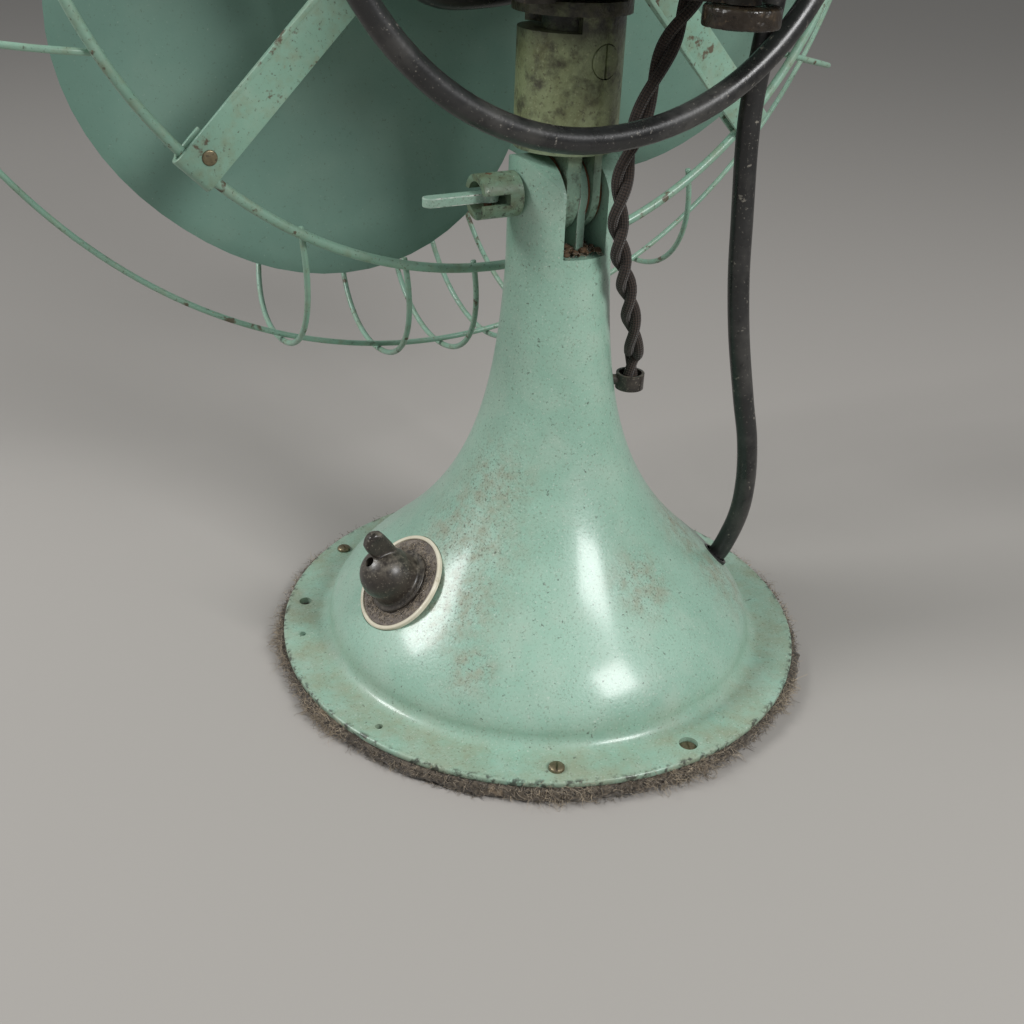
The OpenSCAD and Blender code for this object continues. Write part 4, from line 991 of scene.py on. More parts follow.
@dataclass
class Base:
    """The cast bell with its flange, the felt under it and the screws that hold the felt."""

    flange_top: float = 7.5
    felt_top: float = 5.0
    foot_r: float = 82.0
    fillet: float = 5.0
    flare_z: float = 32.0
    fork_top: float = 188.0
    hollow_top: float = 118.0
    wall: float = 3.0
    hole_circle: float = 93.0
    bolt_az: tuple[int, ...] = (-30, 210)
    felt_az: tuple[int, ...] = (64, 184, 224, 264, 304)
    spare_az: tuple[int, ...] = (-16, 24)
    sunk_az: float = 94.0
    seed: int = 7

    def profile(self) -> list[tuple[float, float]]:
        """Lists the casting's section from the top of the column round to the top of the hollow."""
        down = [BELL_TOP_Z - (BELL_TOP_Z - self.flare_z) * (i / 60) ** 0.8 for i in range(61)]
        outer = [(bell_radius(z), z) for z in down]
        start = Vector((bell_radius(self.flare_z), self.flare_z))
        end = Vector((self.foot_r, self.flange_top + self.fillet))
        pulls = (start + 0.6 * Vector((13.8, -12.28)), end + Vector((0, 4.3)))
        foot = [tuple(start * (1 - t) ** 3 + 3 * pulls[0] * t * (1 - t) ** 2
                      + 3 * pulls[1] * t * t * (1 - t) + end * t ** 3)
                for t in [k / 12 for k in range(1, 12)]]
        arc = [(self.foot_r + self.fillet * (1 - math.cos(a)), self.flange_top
                + self.fillet * (1 - math.sin(a)))
               for a in quarter_turn(8)]
        rim = [(99.2, 7.5), (99.7, 7.35), (99.95, 7.0), (100.0, 6.6), (100.0, 5.6), (99.7, 5.1),
               (99.3, self.felt_top)]
        inner = [(bell_radius(z) - self.wall, z) for z in range(20, 119, 7)]
        column = [(0, self.fork_top), (COLUMN_R, self.fork_top), (COLUMN_R, EAR_Z), (COLUMN_R, 160)]
        return (column + outer + foot + arc + [(92, self.flange_top)] + rim + [(77.5, self.felt_top)] + inner
                + [(0, self.hollow_top)])

    def shell(self) -> Piece:
        """Turns the casting and cuts its fork, slot, holes and seats.

        Returns:
            The dressed piece.
        """
        bell = spun("bell_casting", self.profile(), 160)
        across = Matrix.Rotation(math.pi / 2, 4, "Y")
        trim = slab("fork_trim", (-20, -20, EAR_Z), (20, 20, 190))
        cut(trim, rod("fork_round", COLUMN_R, -30, 30, Matrix.Translation((0, 0, EAR_Z * MM)) @ across, 128))
        pivot = Matrix.Translation((0, 0, PIVOT_Z * MM)) @ across
        tools = [slab("fork_slot", (-8, -20, FORK_FLOOR_Z), (8, 20, 190)),
                 rod("nut_seat", 6.5, -20, -13.5, pivot),
                 rod("dial_seat", 19.1, -0.5, 24, DIAL_SEAT.frame(), 96),
                 rod("cord_bore", 5.7, -9, 10, CORD_SEAT.frame(), 48),
                 rod("lead_bore", 2.0, 12, 33, sloped(LEAD_BUSH[1], 0, LEAD_BUSH[2], 0), 32)]
        holes = [(2.5, az) for az in self.bolt_az] + [(1.35, az) for az in self.felt_az + self.spare_az]
        tools += [rod("flange_hole", radius, 0, 12, Matrix.Translation(polar(self.hole_circle, az, 0)), 32)
                  for radius, az in holes + [(3.3, self.sunk_az)]]
        for tool in (trim, joined("casting_cuts", tools), rod("pivot_bore", 4.05, -19, 19, pivot)):
            cut(bell, tool)
        coat(bell, ENAMEL, CHIPPED_EDGE)
        ease_edges(bell, 0.45, 2, 40, slot=1)
        return dress(bell, ENAMEL, "base_shell")

    def felt(self) -> Piece:
        """Cuts the felt disc with a ragged, moth-eaten rim.

        Returns:
            The dressed piece.
        """
        rows = ((60, 0.0), (96, 0.0), (99.5, 0.15), (101.2, 0.9), (101.8, 2.2), (101.6, 3.6), (100.6, 4.7),
                (99.4, 5.0), (60, 5.0))
        pad = spun("felt_pad_finish", [(0, 0.0), *rows, (0, self.felt_top)], 480)
        for vertex in pad.data.vertices:
            radius = math.hypot(vertex.co.x, vertex.co.y) / MM
            if radius > 95:
                slow = noise.noise(vertex.co * 60)
                fine = noise.noise(vertex.co * 420) + 0.6 * noise.noise(vertex.co * 1100)
                push = 1 + (1.5 * slow + 1.4 * fine) / radius
                vertex.co.x *= push
                vertex.co.y *= push
                top = self.felt_top if radius < 100.3 else self.felt_top + 0.8
                vertex.co.z = min(top * MM, max(0.0, vertex.co.z + 0.4 * MM * fine))
        smooth(pad, 80)
        return dress(pad, FELT, "felt_pad")

    def lint(self) -> Piece:
        """Lays short fuzz all round the felt's rim, with pale tufts of lint in a few places.

        Returns:
            The dressed piece.
        """
        chance = random.Random(self.seed)
        tufts = ((-18, 5, 420), (10, 5, 520), (65, 4, 260), (92, 5, 420), (125, 4, 260), (170, 9, 260),
                 (215, 8, 260),
                 (262, 10, 260), (310, 9, 260))
        starts = [(chance.uniform(-180, 180), 0.8, 0.1) for _ in range(9000)]
        for az, spread, count in tufts:
            starts += [(chance.gauss(az, spread), 1.5, 0.8) for _ in range(count)]
        fuzz = Fibres()
        for az, reach, pale in starts:
            out = Vector((math.cos(math.radians(az)), math.sin(math.radians(az)), 0))
            p = polar(chance.uniform(98.8, 101.8), az, chance.uniform(0.5, 5.6))
            heading = (out * chance.uniform(0.2, 1.0) + Vector((-out.y, out.x, 0)) * chance.uniform(-1, 1)
                       + Vector((0, 0, chance.uniform(-0.6, 0.7)))).normalized()
            route = fuzz.curl(chance, p, heading, chance.uniform(0.3, 1.0) * reach, 0.5)
            for point in route:
                shrink = min(1.0, 107 * MM / math.hypot(point.x, point.y))
                point.x *= shrink
                point.y *= shrink
                point.z = min(9.5 * MM, max(0.2 * MM, point.z))
            fuzz.add(route, chance.uniform(0.05, 0.13),
                     min(1.0, pale * chance.random() + chance.random() ** 2))
        return fuzz.build("felt_lint")

    def screw(self, name: str, radius: float, height: float, shank: float, drop: float) -> Piece:
        """Turns a round-headed screw and saws its slot.

        Args:
            name: the piece's name.
            radius: the head's radius in millimetres.
            height: the head's height.
            shank: the shank's radius.
            drop: how far the shank goes down.

        Returns:
            The bare screw, with its seat at the origin.
        """
        dome = [(radius * math.sin(a), height * (0.35 + 0.65 * math.cos(a))) for a in quarter_turn(8)]
        made = spun(name, [*dome, (radius, 0), (shank, 0), (shank, -drop), (0, -drop)], 40)
        cut(made, slab("screw_slot", (-2 * radius, -0.14 * radius, height * 0.55),
                       (2 * radius, 0.14 * radius, 2 * height)))
        return ease_edges(made, 0.12, 2, 40)

    def screws(self) -> Piece:
        """Sets the screws round the flange, each with its slot turned its own way.

        Returns:
            The dressed piece.
        """
        chance = random.Random(self.seed)
        first = self.screw("felt_screw", 2.75, 1.7, 1.2, 6.0)
        placed = []
        for az in self.felt_az:
            turn = Matrix.Rotation(chance.uniform(0, math.pi), 4, "Z")
            placed.append(copied(first,
                                 Matrix.Translation(polar(self.hole_circle, az, self.flange_top + 0.08))
                                 @ turn, "felt_screw"))
        sunk = self.screw("sunk_screw", 3.05, 1.1, 2.4, 4.6)
        place = Matrix.Translation(polar(self.hole_circle, self.sunk_az, 5.4)) @ Matrix.Rotation(1.2, 4, "Z")
        placed.append(copied(sunk, place, "sunk_screw"))
        for spare in (first, sunk):
            bpy.data.objects.remove(spare)
        return dress(joined("flange_screws_finish", placed), TARNISH, "flange_screws")

    def build(self) -> None:
        """Builds every piece of the base."""
        self.shell()
        self.felt()
        self.lint()
        self.screws()


@dataclass
class Switch:
    """The dial, its rim and the finned knob on the slope of the bell."""

    knob_r: float = 10.0
    knob_z: float = 0.7
    dome_z: float = 7.5
    leaf: tuple[tuple[float, float], ...] = (
        (-6, 2), (-9.6, 5), (-10.4, 8.5), (-10.9, 12), (-11, 14.5), (-9.5, 16.7), (-7.5, 17.5), (-5.5, 17.1),
        (-3.4, 15.8),
        (-2.5, 13.5), (-2.3, 10.5), (-2.6, 5))
    leaf_half: float = 2.2
    skirt_r: float = 12.55
    plate_z: float = 0.42
    seed: int = 11

    def dial(self) -> None:
        """Turns the dished dial and its raised rim."""
        plate = spun("dial_plate_finish", [(5.02, -0.4), (17.2, -0.4), (17.2, 0.3), (17.05, 0.4), (9.0, 0.4),
                                           (5.02, 0.4)], 96, True)
        plate.data.transform(DIAL_SEAT.frame())
        dress(smooth(plate, 30), DIAL_BLACK, "dial_plate")
        rim = spun("dial_rim_finish", [(17.3, -0.4), (18.8, -0.4), (18.8, 0.55), (18.62, 0.86), (18.3, 1.0),
                                       (17.75, 1.0),
                                       (17.45, 0.88), (17.3, 0.6)], 128, True)
        rim.data.transform(DIAL_SEAT.frame())
        dress(smooth(rim, 40), DIAL_CREAM, "dial_rim")

    def knob(self) -> None:
        """Fuses the dome with its leaf, softens the joint and bores the nut's recess and the screw hole."""
        z = self.knob_z
        dome = [(0.0, z), (12.0, z), (12.3, z + 0.3), (12.25, z + 1.0), (11.9, z + 1.3), (10.7, z + 1.5),
                (10.15, z + 2.1)]
        dome += [(self.knob_r * math.cos(a), self.dome_z + self.knob_r * math.sin(a))
                 for a in quarter_turn(16)]
        dome[-1] = (0.0, self.dome_z + self.knob_r)
        knob = spun("knob_moulding", dome, 96)
        count = len(self.leaf)
        sides = [Vector((x, y, self.dome_z + h)) * MM for y in (-self.leaf_half, self.leaf_half) for x,
                 h in self.leaf]
        loops = [tuple(range(count)), tuple(reversed(range(count, 2 * count)))]
        loops += [(i, i + count, (i + 1) % count + count, (i + 1) % count) for i in range(count)]
        blade = new_object("knob_leaf", sides, faces=loops)
        tidy_mesh(blade)
        modify(blade, "BEVEL", width=1.3 * MM, segments=4, limit_method="ANGLE", angle_limit=math.radians(60))
        cut(knob, blade, "UNION")
        modify(knob, "REMESH", mode="VOXEL", voxel_size=0.35 * MM)
        modify(knob, "SMOOTH", factor=0.5, iterations=6)
        cut(knob, rod("nut_recess", 8.2, 0, 3.3, Matrix.Identity(4)))
        cut(knob, rod("screw_well", 1.9, 13.1, 20, Matrix.Identity(4), 24))
        knob.data.transform(DIAL_SEAT.frame())
        dress(smooth(knob, 40), BAKELITE, "switch_knob")

    def dust(self) -> None:
        """Lays a ring of dust and fluff on the dial round the knob's skirt."""
        chance = random.Random(self.seed)
        fluff = Fibres()
        for _ in range(900):
            az = chance.uniform(0, 2 * math.pi)
            r = 12.7 + 3.6 * chance.random() ** 1.6
            at = Vector((r * math.cos(az), r * math.sin(az), chance.uniform(self.plate_z, 0.8))) * MM
            heading = Vector((-math.sin(az), math.cos(az), chance.uniform(-0.2, 0.4)))
            route = [Vector((p.x, p.y, min(max(p.z, self.plate_z * MM), 1.6 * MM)))
                     for p in fluff.curl(chance, at, heading * chance.choice((-1, 1)),
                                         chance.uniform(0.2, 0.6), 0.6)]
            route = [p * max(1.0, self.skirt_r * MM / math.hypot(p.x, p.y)) for p in route]
            fluff.add([DIAL_SEAT.frame() @ p for p in route], chance.uniform(0.05, 0.12),
                      chance.random() ** 1.3)
        fluff.build("dial_dust")

    def build(self) -> None:
        """Builds the dial, the knob and the dust between them."""
        self.dial()
        self.knob()
        self.dust()


@dataclass
class TiltJoint:
    """The clamp, lever, washers and dirt in the fork, and the neck above it."""

    seed: int = 5
    rubbed: tuple[tuple[str, float, Finish, Finish], ...] = (
        ("clamp_screw", 0.6, HANDLED_ENAMEL, CHIPPED_EDGE), ("clamp_lever", 0.7, ENAMEL, CHIPPED_EDGE),
        ("friction_plate", 0.4, ENAMEL, CHIPPED_EDGE), ("neck", 0.6, OILY_ENAMEL, OILY_ENAMEL))
    plain: tuple[tuple[str, float, Finish], ...] = (
        ("lever_pin", 0.25, RUST), ("clamp_nut", 0.4, STEEL), ("fibre_washers", 0.2, FIBRE),
        ("swivel_saddle", 1.2, CAKED_ENAMEL), ("swivel_lug", 0.4, DARK_STEEL), ("thrust_washer", 0.15,
                                                                                BRONZE),
        ("lead_bush", 0.4, BAKELITE), ("cord_grommet", 0.4, RUBBER), ("neck_screw", 0.35, OILY_ENAMEL))

    def dirt(self) -> None:
        """Lays crumbs and fibres on the floor of the fork's slot."""
        chance = random.Random(self.seed)
        places = []
        for _ in range(130):
            side = chance.choice((-1, 1))
            radius = chance.uniform(0.4, 1.5)
            y = side * chance.uniform(0.5, 16.5)
            places.append((Vector((chance.uniform(-6.8, 6.8), y, FORK_FLOOR_Z + 0.5 * radius
                                   + chance.uniform(0, 1.4))) * MM, radius))
        crumbs("fork_dirt", chance, places)
        fibres = Fibres()
        for _ in range(260):
            at = Vector((chance.uniform(-7, 7), chance.uniform(-16.5, 16.5),
                         chance.uniform(157.2, 158.6))) * MM
            heading = Vector((chance.uniform(-1, 1), chance.uniform(-1, 1),
                              chance.uniform(-0.1, 0.5))).normalized()
            route = [Vector((min(max(p.x, -7.6 * MM), 7.6 * MM), p.y, min(max(p.z, 157.1 * MM), 160.5 * MM)))
                     for p in fibres.curl(chance, at, heading, chance.uniform(0.4, 1.1), 0.5)]
            fibres.add(route, chance.uniform(0.05, 0.12), chance.random())
        fibres.build("fork_lint")

    def build(self) -> None:
        """Refines the joint's turned and cast parts, and lays the dirt."""
        for node, width, finish, edge in self.rubbed:
            dress(worn(node, width, finish, edge), finish, node)
        refine_all(self.plain)
        self.dirt()


@dataclass
class Guard:
    """The wire cage: rear, outer and inner rings, 24 bent wires, four straps and the plain centre plate."""

    rings: tuple[tuple[str, float, float, float], ...] = (
        ("guard_rear_ring", 154.9, 1.75, 42.4), ("guard_outer_ring", 200.72, 1.1, 90.13),
        ("guard_inner_ring", 36.0, 1.5, 143.25))
    wire_r: float = 1.1
    bend_r: float = 50.3
    foot_r: float = 153.0
    bend_s: float = 95.63
    tip_r: float = 34.0
    quarter: tuple[tuple[float, float], ...] = ((29.5, 20), (14, 8), (3.4, 0), (-6.3, -6.3), (-19, -13),
                                                (-34, -28.5))

    def ring(self, node: str, radius: float, wire: float, s: float) -> None:
        """Spins a wire's round section into a ring about the fan's axis.

        Args:
            node: the frame node that the ring stands for.
            radius: the ring's radius in millimetres.
            wire: the wire's radius.
            s: its place along the fan's axis.
        """
        section = [(radius + wire * math.cos(a), s + wire * math.sin(a))
                   for a in [2 * math.pi * k / 14 for k in range(14)]]
        made = spun(node + "_finish", section, 240, True)
        made.data.transform(FAN)
        dress(smooth(made, 60), GUARD_ENAMEL, node)

    def route(self, lean: float) -> list[Vector]:
        """Bends one wire from its foot, out round the cage and in to the centre.

        Args:
            lean: how far its foot stands beside its outermost point, in degrees round the fan.

        Returns:
            Its centre line in metres.
        """
        top = Vector((self.foot_r + self.bend_r, 0, self.bend_s))
        foot = Vector((self.foot_r * math.cos(math.radians(lean)), self.foot_r * math.sin(math.radians(lean)),
                       self.bend_s))
        run = (foot - top).length
        inward = (foot - top) / run
        back = Vector((0, 0, self.bend_r))
        line = [foot - back] if run > self.bend_r + 0.1 else []
        quarter = quarter_turn(20)
        line += [top + inward * self.bend_r * (1 - math.cos(a)) - back * math.sin(a)
                 for a in reversed(quarter)]
        line += [Vector((self.foot_r + self.bend_r * math.cos(a), 0, self.bend_s + self.bend_r * math.sin(a)))
                 for a in quarter[1:]]
        line += [Vector((r, 0, self.bend_s + self.bend_r)) for r in (140, 110, 80, 55, self.tip_r)]
        return [p * MM for p in line]

    def wires(self) -> None:
        """Bends every wire of the cage; neighbouring quarters mirror each other."""
        made = []
        for number in range(4):
            flip = -1 if number % 2 == 0 else 1
            for foot, middle in self.quarter:
                wire = tube("guard_wire", self.route(flip * (foot - middle)), self.wire_r, 12)
                modify(wire, "BEVEL", width=0.4 * MM, segments=2, limit_method="ANGLE",
                       angle_limit=math.radians(60))
                wire.data.transform(FAN @ turned(90 * number + flip * middle))
                made.append(wire)
        dress(smooth(joined("guard_wires_finish", made), 60), GUARD_ENAMEL, "guard_wires")

    def straps(self) -> None:
        """Folds a strip round the rear ring, raises its stiffening edge and copies it to the four straps."""
        line = [(29.0, 38.95), (60, 38.95), (100, 38.95), (154.0, 38.95)]
        line += [(156.3 + 1.95 * math.sin(a), 41.0 - 2.05 * math.cos(a))
                 for a in [math.pi * k / 10 for k in range(1, 10)]]
        line += [(156.3 + 1.95 * math.sin(math.pi), 44.3), (152, 44.35), (145.3, 44.35)]
        points = [Vector((r, y, s)) * MM for y in (-7, 7) for r, s in line]
        count = len(line)
        strip = new_object("guard_strap", points,
                           faces=[(i, i + 1, i + 1 + count, i + count) for i in range(count - 1)])
        modify(strip, "SOLIDIFY", thickness=1.5 * MM, offset=0.0)
        bevelled = ease_edges(strip, 0.3, 2, 50)
        fin = [Vector((r, y, s)) * MM for y in (5.4, 7) for r, s in
               ((62, 39), (67, 35), (96, 36.3), (125.3, 37.62), (145.3, 38.9))]
        edge = new_object("strap_edge", fin, faces=[(0, 1, 2, 3, 4), (9, 8, 7, 6, 5)] + [
            (i, i + 5, (i + 1) % 5 + 5, (i + 1) % 5) for i in range(5)])
        tidy_mesh(edge)
        ease_edges(edge, 0.3, 2, 40)
        strap = joined("guard_strap", [bevelled, edge])
        made = [copied(strap, FAN @ turned(az), "guard_strap") for az in (45, 135, 225, 315)]
        bpy.data.objects.remove(strap)
        dress(smooth(joined("guard_straps_finish", made), 40), GUARD_ENAMEL, "guard_straps")

    def build(self) -> None:
        """Builds the whole cage."""
        for ring in self.rings:
            self.ring(*ring)
        self.wires()
        self.straps()
        dress(refined("strap_rivets", 0.5, segments=3), TARNISH, "strap_rivets")
        dress(refined("guard_badge", 0.6), GUARD_ENAMEL, "guard_badge")


@dataclass
class Rotor:
    """The four lobed blades on their hub."""

    tip_r: float = 176.0
    in_r: float = 24.0
    span: float = 68.0
    shape: float = 2.3
    pitch: float = 16.0
    mid_s: float = 82.0
    first_az: float = -53.0
    columns: int = 72
    rows: int = 28

    def blade(self) -> Piece:
        """Presses one blade from a fan of points by its pitch.

        Returns:
            The blade, in the fan's own frame.
        """
        edge = self.span * (1 - (self.in_r + 1) / self.tip_r) ** (1 / self.shape)
        points = []
        for i in range(self.columns + 1):
            a = edge * math.sin(math.pi / 2 * (2 * i / self.columns - 1))
            out = self.tip_r * (1 - (abs(a) / self.span) ** self.shape)
            for j in range(self.rows + 1):
                r = self.in_r + j / self.rows * (out - self.in_r)
                t = math.radians(a)
                points.append(Vector((r * math.cos(t), r * math.sin(t),
                                      self.mid_s + r * math.tan(math.radians(self.pitch)) * t)) * MM)
        wide = self.rows + 1
        faces = [(i * wide + j, (i + 1) * wide + j, (i + 1) * wide + j + 1, i * wide + j + 1)
                 for i in range(self.columns) for j in range(self.rows)]
        blade = new_object("fan_blade", points, faces=faces)
        modify(blade, "SOLIDIFY", thickness=1.2 * MM, offset=0.0)
        return ease_edges(blade, 0.35, 2, 50)

    def build(self) -> None:
        """Copies the blade round the hub and refines the hub."""
        first = self.blade()
        made = [copied(first, FAN @ turned(self.first_az + 90 * k), "fan_blade") for k in range(4)]
        bpy.data.objects.remove(first)
        dress(smooth(joined("blades_finish", made), 50), BLADE_ENAMEL, "blades")
        refine_all((("blade_hub", 0.6, BLADE_ENAMEL), ("blade_rivets", 0.4, STEEL)))


@dataclass
class Motor:
    """The motor's shells, the gear case behind them and the crank below."""

    parts: tuple[tuple[str, float, Finish], ...] = (
        ("motor_front_shell", 1.0, ENAMEL), ("motor_rear_shell", 1.0, ENAMEL), ("gear_case", 1.4, ENAMEL),
        ("gear_cover", 0.8, ENAMEL), ("housing_screws", 0.3, TARNISH), ("lead_grommet", 0.5, RUBBER),
        ("crank_link", 0.4, DARK_STEEL), ("plug_body", 1.2, BAKELITE), ("plug_pins", 0.5, BRASS))

    def build(self) -> None:
        """Refines the castings, the screws and the crank."""
        refine_all(self.parts)
        self.crank()

    def crank(self) -> None:
        """Roughens the crank's cap with hollows in its coat of grease."""
        crank = refined("crank", 0.7)
        modify(crank, "REMESH", mode="VOXEL", voxel_size=0.5 * MM)
        for vertex in crank.data.vertices:
            lump = noise.noise(vertex.co * 350) + 0.7 * noise.noise(vertex.co * 900)
            vertex.co -= vertex.normal * 0.35 * MM * max(0.0, lump)
        dress(smooth(crank, 60), GREASE, "crank")


@dataclass
class Cords:
    """The rubber power cord from the bell up and round the motor, and the braided motor lead."""

    cord_d: float = 7.5
    lead_d: float = 7.0
    riser_split: float = 148.0
    lead_split: float = 188.0
    climb: tuple[tuple[float, float, float], ...] = (
        (-71, 29, 50), (-69.5, 32, 67), (-66, 33.5, 85), (-61.5, 33.5, 102), (-56, 33, 126), (-53, 32,
                                                                                              148), (-51, 32,
                                                                                                     169),
        (-49, 32, 192), (-48.5, 32.4, 207), (-49, 33.6, 222), (-51, 34.5, 245), (-54, 35, 265))
    turns: tuple[tuple[float, float, float], ...] = (
        (-56, 35, 285), (0, 25, 343.8), (98, 40, 280), (18, 48, 202.6), (-75, 38, 283), (0, 8, 343.8),
        (66, -12, 285),
        (27, -25.5, 232), (-60, -22, 290), (0, -8, 343.8), (51.8, -20, 292), (0, -33, 240.2), (-51.8, -31.5,
                                                                                               292),
        (0, -26, 343.8), (62, -35, 304))
    drop: tuple[tuple[float, float, float], ...] = (
        (-30, 24, 243), (-22.5, 29.5, 236), (-15.5, 28, 220), (-10.5, 26.3, 202), (-6.5, 25.6, 186),
        (-7.5, 24, 166),
        (-16.5, 20.5, 141), (-24.5, 14.5, 121))
    strand_r: float = 1.8
    lay_r: float = 1.7
    twist: float = 31.0
    slack: float = 1.1

    def exit(self) -> tuple[Vector, Vector]:
        """Gives where the power cord leaves the bell, in metres, and its direction there."""
        az, el = math.radians(CORD_SEAT.az), math.radians(CORD_SEAT.el)
        heading = Vector((math.cos(el) * math.cos(az), math.cos(el) * math.sin(az), math.sin(el)))
        return polar(bell_radius(CORD_SEAT.z), CORD_SEAT.az, CORD_SEAT.z), heading

    def length(self, route: list[Vector]) -> float:
        """Measures a route in metres."""
        return sum((b - a).length for a, b in zip(route, route[1:]))

    def riser(self) -> None:
        """Runs the cord up beside the column in two lengths that bend with the tilt and with the swivel."""
        at, heading = self.exit()
        route = spline([at - 3 * MM * heading, at + 4 * MM * heading, *[Vector(p) * MM for p in self.climb],
                        Vector(self.turns[0]) * MM], 10)
        half = min(range(len(route)), key=lambda i: abs(route[i].z - self.riser_split * MM))
        lower_path, upper_path = route[:half + 1], route[half:]
        lower = tube("power_cord_lower", lower_path, self.cord_d / 2, 20)
        dress_blend(lower, RUBBER, "base", "neck", Vector((-0.07, 0.03, 0.05)),
                    Vector((-0.053, 0.032, 0.146)))
        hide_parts("power_cord_riser")
        upper = tube("power_cord_upper", upper_path, self.cord_d / 2, 20)
        dress_blend(upper, RUBBER, "neck", "head", Vector((-0.053, 0.032, 0.15)),
                    Vector((-0.055, 0.036, 0.278)))

    def quarter(self, a: Vector, b: Vector, even: bool, t: float) -> Vector:
        """Gives a point on a quarter turn of the coil.

        Args:
            a: where the quarter starts.
            b: where it ends.
            even: whether it starts upright.
            t: how far along it is, from 0 to 1.

        Returns:
            The point.
        """
        c, s = math.cos(math.pi / 2 * t), math.sin(math.pi / 2 * t)
        y = a.y + (b.y - a.y) * t * t * (3 - 2 * t)
        if even:
            return Vector((b.x + (a.x - b.x) * c, y, a.z + (b.z - a.z) * s))
        return Vector((a.x + (b.x - a.x) * s, y, b.z + (a.z - b.z) * c))

    def coil(self) -> None:
        """Winds the rest of the cord round the motor down to its plug."""
        marks = [Vector(p) * MM for p in self.turns]
        route = [self.quarter(marks[i], marks[i + 1], i % 2 == 0, k / 24) for i in range(len(marks) - 1)
                 for k in range(24)]
        route.append(marks[-1])
        coil = tube("power_cord_coil_finish", route, self.cord_d / 2, 20)
        dress(coil, RUBBER, "power_cord_coil")

    def pair(self, name: str, route: list[Vector], start: float) -> Piece:
        """Twists two braided strands round a route.

        Args:
            name: the object's name.
            route: the lead's centre line in metres.
            start: how far along the whole lead it starts, in metres.

        Returns:
            The two strands as one object.
        """
        strands = []
        for phase in (0.0, math.pi):
            line, done = [], start
            for i, p in enumerate(route):
                tangent = (route[min(i + 1, len(route) - 1)] - route[max(i - 1, 0)]).normalized()
                normal = Vector((0, 1, 0)) - tangent * tangent.y
                normal.normalize()
                side = tangent.cross(normal)
                if i:
                    done += (p - route[i - 1]).length
                swing = self.slack * math.sin(done / (17 * MM))
                angle = 2 * math.pi * done / (self.twist * MM) + phase + swing
                line.append(p + (normal * math.cos(angle) + side * math.sin(angle)) * self.lay_r * MM)
            strands.append(tube(name, line, self.strand_r, 14))
        return joined(name, strands)

    def lead(self) -> None:
        """Hangs the motor lead from the motor to its bush, in two lengths that bend with the joints."""
        out = Vector((math.cos(math.radians(235)), 0, math.sin(math.radians(235))))
        top = (Vector((0, 20, AXIS_Z)) + 49 * out) * MM
        bush = polar(*LEAD_BUSH)
        route = spline([top, top + 5 * MM * out, *[Vector(p) * MM for p in self.drop], bush
                        + Vector((0, 0, 9 * MM)),
                        bush + Vector((0, 0, 0.3 * MM))], 16)
        half = min(range(len(route)), key=lambda i: abs(route[i].z - self.lead_split * MM))
        upper_path, lower_path = route[:half + 1], route[half:]
        upper = self.pair("motor_lead_upper", upper_path, 0.0)
        dress_blend(upper, CottonBraid(), "head", "neck", Vector((-0.028, 0.024, 0.243)),
                    Vector((-0.007, 0.0256, 0.19)))
        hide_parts("motor_lead")
        lower = self.pair("motor_lead_lower", lower_path, self.length(upper_path))
        dress_blend(lower, CottonBraid(), "neck", "base", Vector((-0.0066, 0.0256, 0.185)),
                    Vector((-0.0245, 0.0145, 0.12)))

    def build(self) -> None:
        """Builds every cord."""
        self.riser()
        self.coil()
        self.lead()


def dress_blend(obj: Piece, finish: Surface, a: str, b: str, start: Vector, end: Vector) -> None:
    """Gives a cord its finish and lets it bend between two bodies.

    Args:
        obj: the cord's tube.
        finish: its surface.
        a: the body that its first end follows.
        b: the body that its last end follows.
        start: where the bend starts, in metres.
        end: where it ends.
    """
    obj.data.materials.clear()
    obj.data.materials.append(finish.build())
    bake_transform(obj, a, b, start, end)
    LOG.info("%s: %d faces, bends between %s and %s", obj.name, len(obj.data.polygons), a, b)


@dataclass
class HiddenWorks:
    """The parts inside the castings, kept as the frame has them and given their own surfaces."""

    finishes: dict[str, Finish] = field(default_factory=lambda: {
        "base_plate": STEEL, "switch_body": BAKELITE, "switch_nut": STEEL, "choke_core": LAMINATION,
        "choke_winding": COPPER,
        "terminal_block": BAKELITE, "switch_shaft": STEEL, "knob_screw": STEEL, "swivel_spindle": STEEL,
        "stator_core": LAMINATION, "stator_windings": COPPER, "bearings": BRONZE, "shaft": STEEL,
        "rotor_core": LAMINATION,
        "worm": STEEL, "hub_screw": STEEL, "worm_wheel": BRONZE})

    def build(self) -> None:
        """Dresses each node."""
        for node, finish in self.finishes.items():
            obj = frame["nodes"][node]
            obj.data.materials.clear()
            obj.data.materials.append(finish.build())
            LOG.info("%s: %s", node, finish.name)


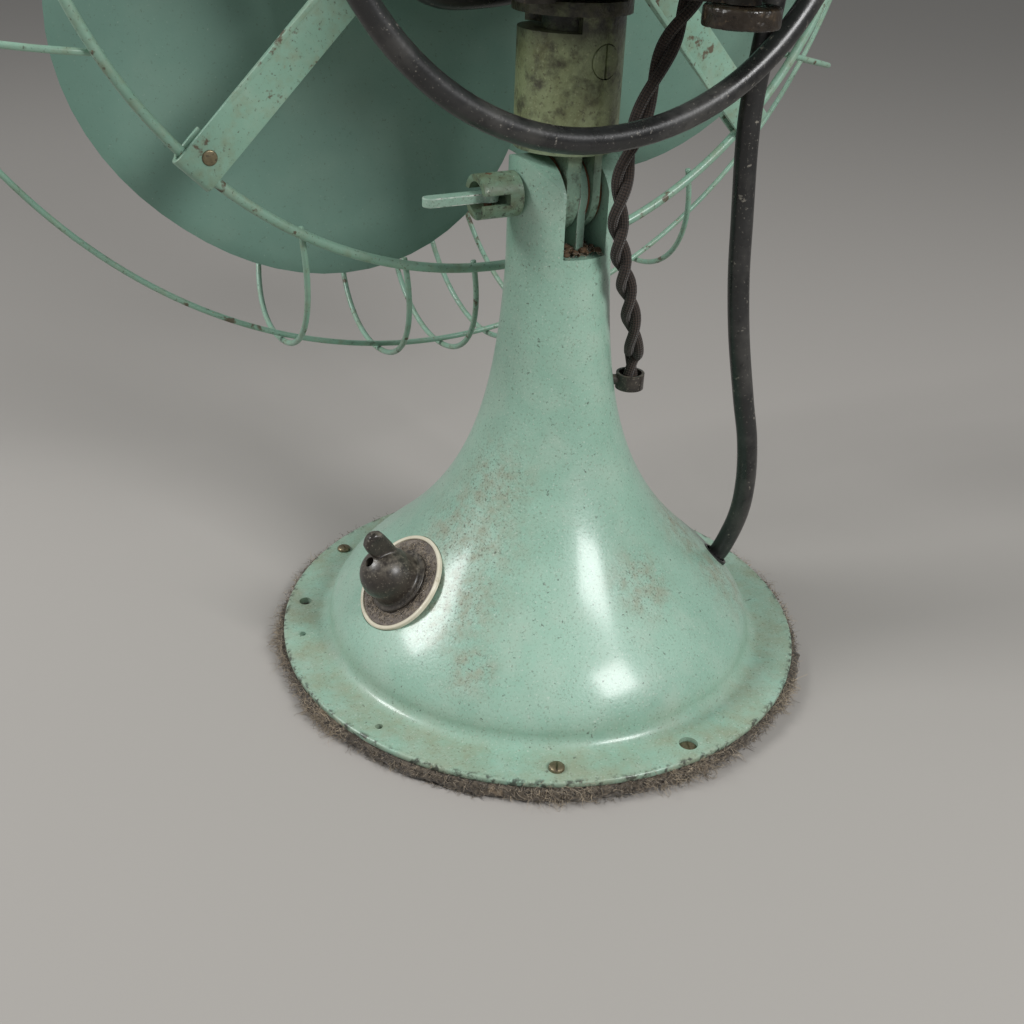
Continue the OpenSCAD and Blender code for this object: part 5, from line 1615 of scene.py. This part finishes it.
@dataclass
class Stage:
    """The plain floor, the soft lights and the camera at the photograph's place."""

    place: tuple[float, float, float] = (0.2095, 0.3401, 0.2764)
    right: tuple[float, float, float] = (-0.8764, 0.4801, 0.0370)
    up: tuple[float, float, float] = (-0.2070, -0.4450, 0.8713)
    back: tuple[float, float, float] = (0.4347, 0.7560, 0.4894)
    lens: float = 42.19
    lamps: tuple[tuple[str, tuple[float, float, float], float, float], ...] = (
        ("key", (-0.31, 0.99, 0.89), 0.4, 12), ("fill", (0.95, -0.4, 0.87), 0.35, 10))

    def floor(self) -> None:
        """Lays a wide plain floor."""
        clear_selection()
        bpy.ops.mesh.primitive_plane_add(size=6)
        floor = bpy.context.object
        floor.name = "stage_floor"
        material = bpy.data.materials.new("plain_floor")
        material.use_nodes = True
        tree = material.node_tree
        feed(tree, tree.nodes["Principled BSDF"], {"Base Color": linear("#A5A19C"), "Roughness": 0.85})
        floor.data.materials.append(material)

    def lamp(self, name: str, at: tuple[float, float, float], size: float, power: float) -> None:
        """Hangs a soft square lamp that looks at the base.

        Args:
            name: the lamp's name.
            at: its place in metres.
            size: its side in metres.
            power: its power in watts.
        """
        data = bpy.data.lights.new(name, "AREA")
        data.size = size
        data.energy = power
        lamp = bpy.data.objects.new(name, data)
        lamp.location = at
        lamp.rotation_euler = (Vector((0, 0, 0.1)) - Vector(at)).to_track_quat("-Z", "Y").to_euler()
        link(lamp)

    def build(self) -> None:
        """Builds the floor, lamps, world and camera."""
        self.floor()
        for lamp in self.lamps:
            self.lamp(*lamp)
        world = bpy.data.worlds.new("soft_room")
        world.use_nodes = True
        sky = world.node_tree.nodes["Background"]
        feed(world.node_tree, sky, {"Color": linear("#C9CBCC"), "Strength": 0.45})
        bpy.context.scene.world = world
        data = bpy.data.cameras.new("photo_view")
        data.lens = self.lens
        data.sensor_width = 36
        data.clip_start = 0.01
        camera = bpy.data.objects.new("photo_view", data)
        camera.matrix_world = Matrix([(self.right[i], self.up[i], self.back[i], self.place[i])
                                      for i in range(3)] + [(0, 0, 0, 1)])
        link(camera)
        bpy.context.scene.camera = camera
        bpy.context.scene.view_settings.view_transform = "Standard"


def main() -> None:
    """Builds the sub-assemblies in order, then the stage."""
    logging.basicConfig(level=logging.INFO, format="%(relativeCreated)d ms %(message)s")
    for part in (Base(), Switch(), TiltJoint(), Guard(), Rotor(), Motor(), Cords(), HiddenWorks(), Stage()):
        LOG.info("building %s", type(part).__name__)
        part.build()


if __name__ == "__main__":
    main()
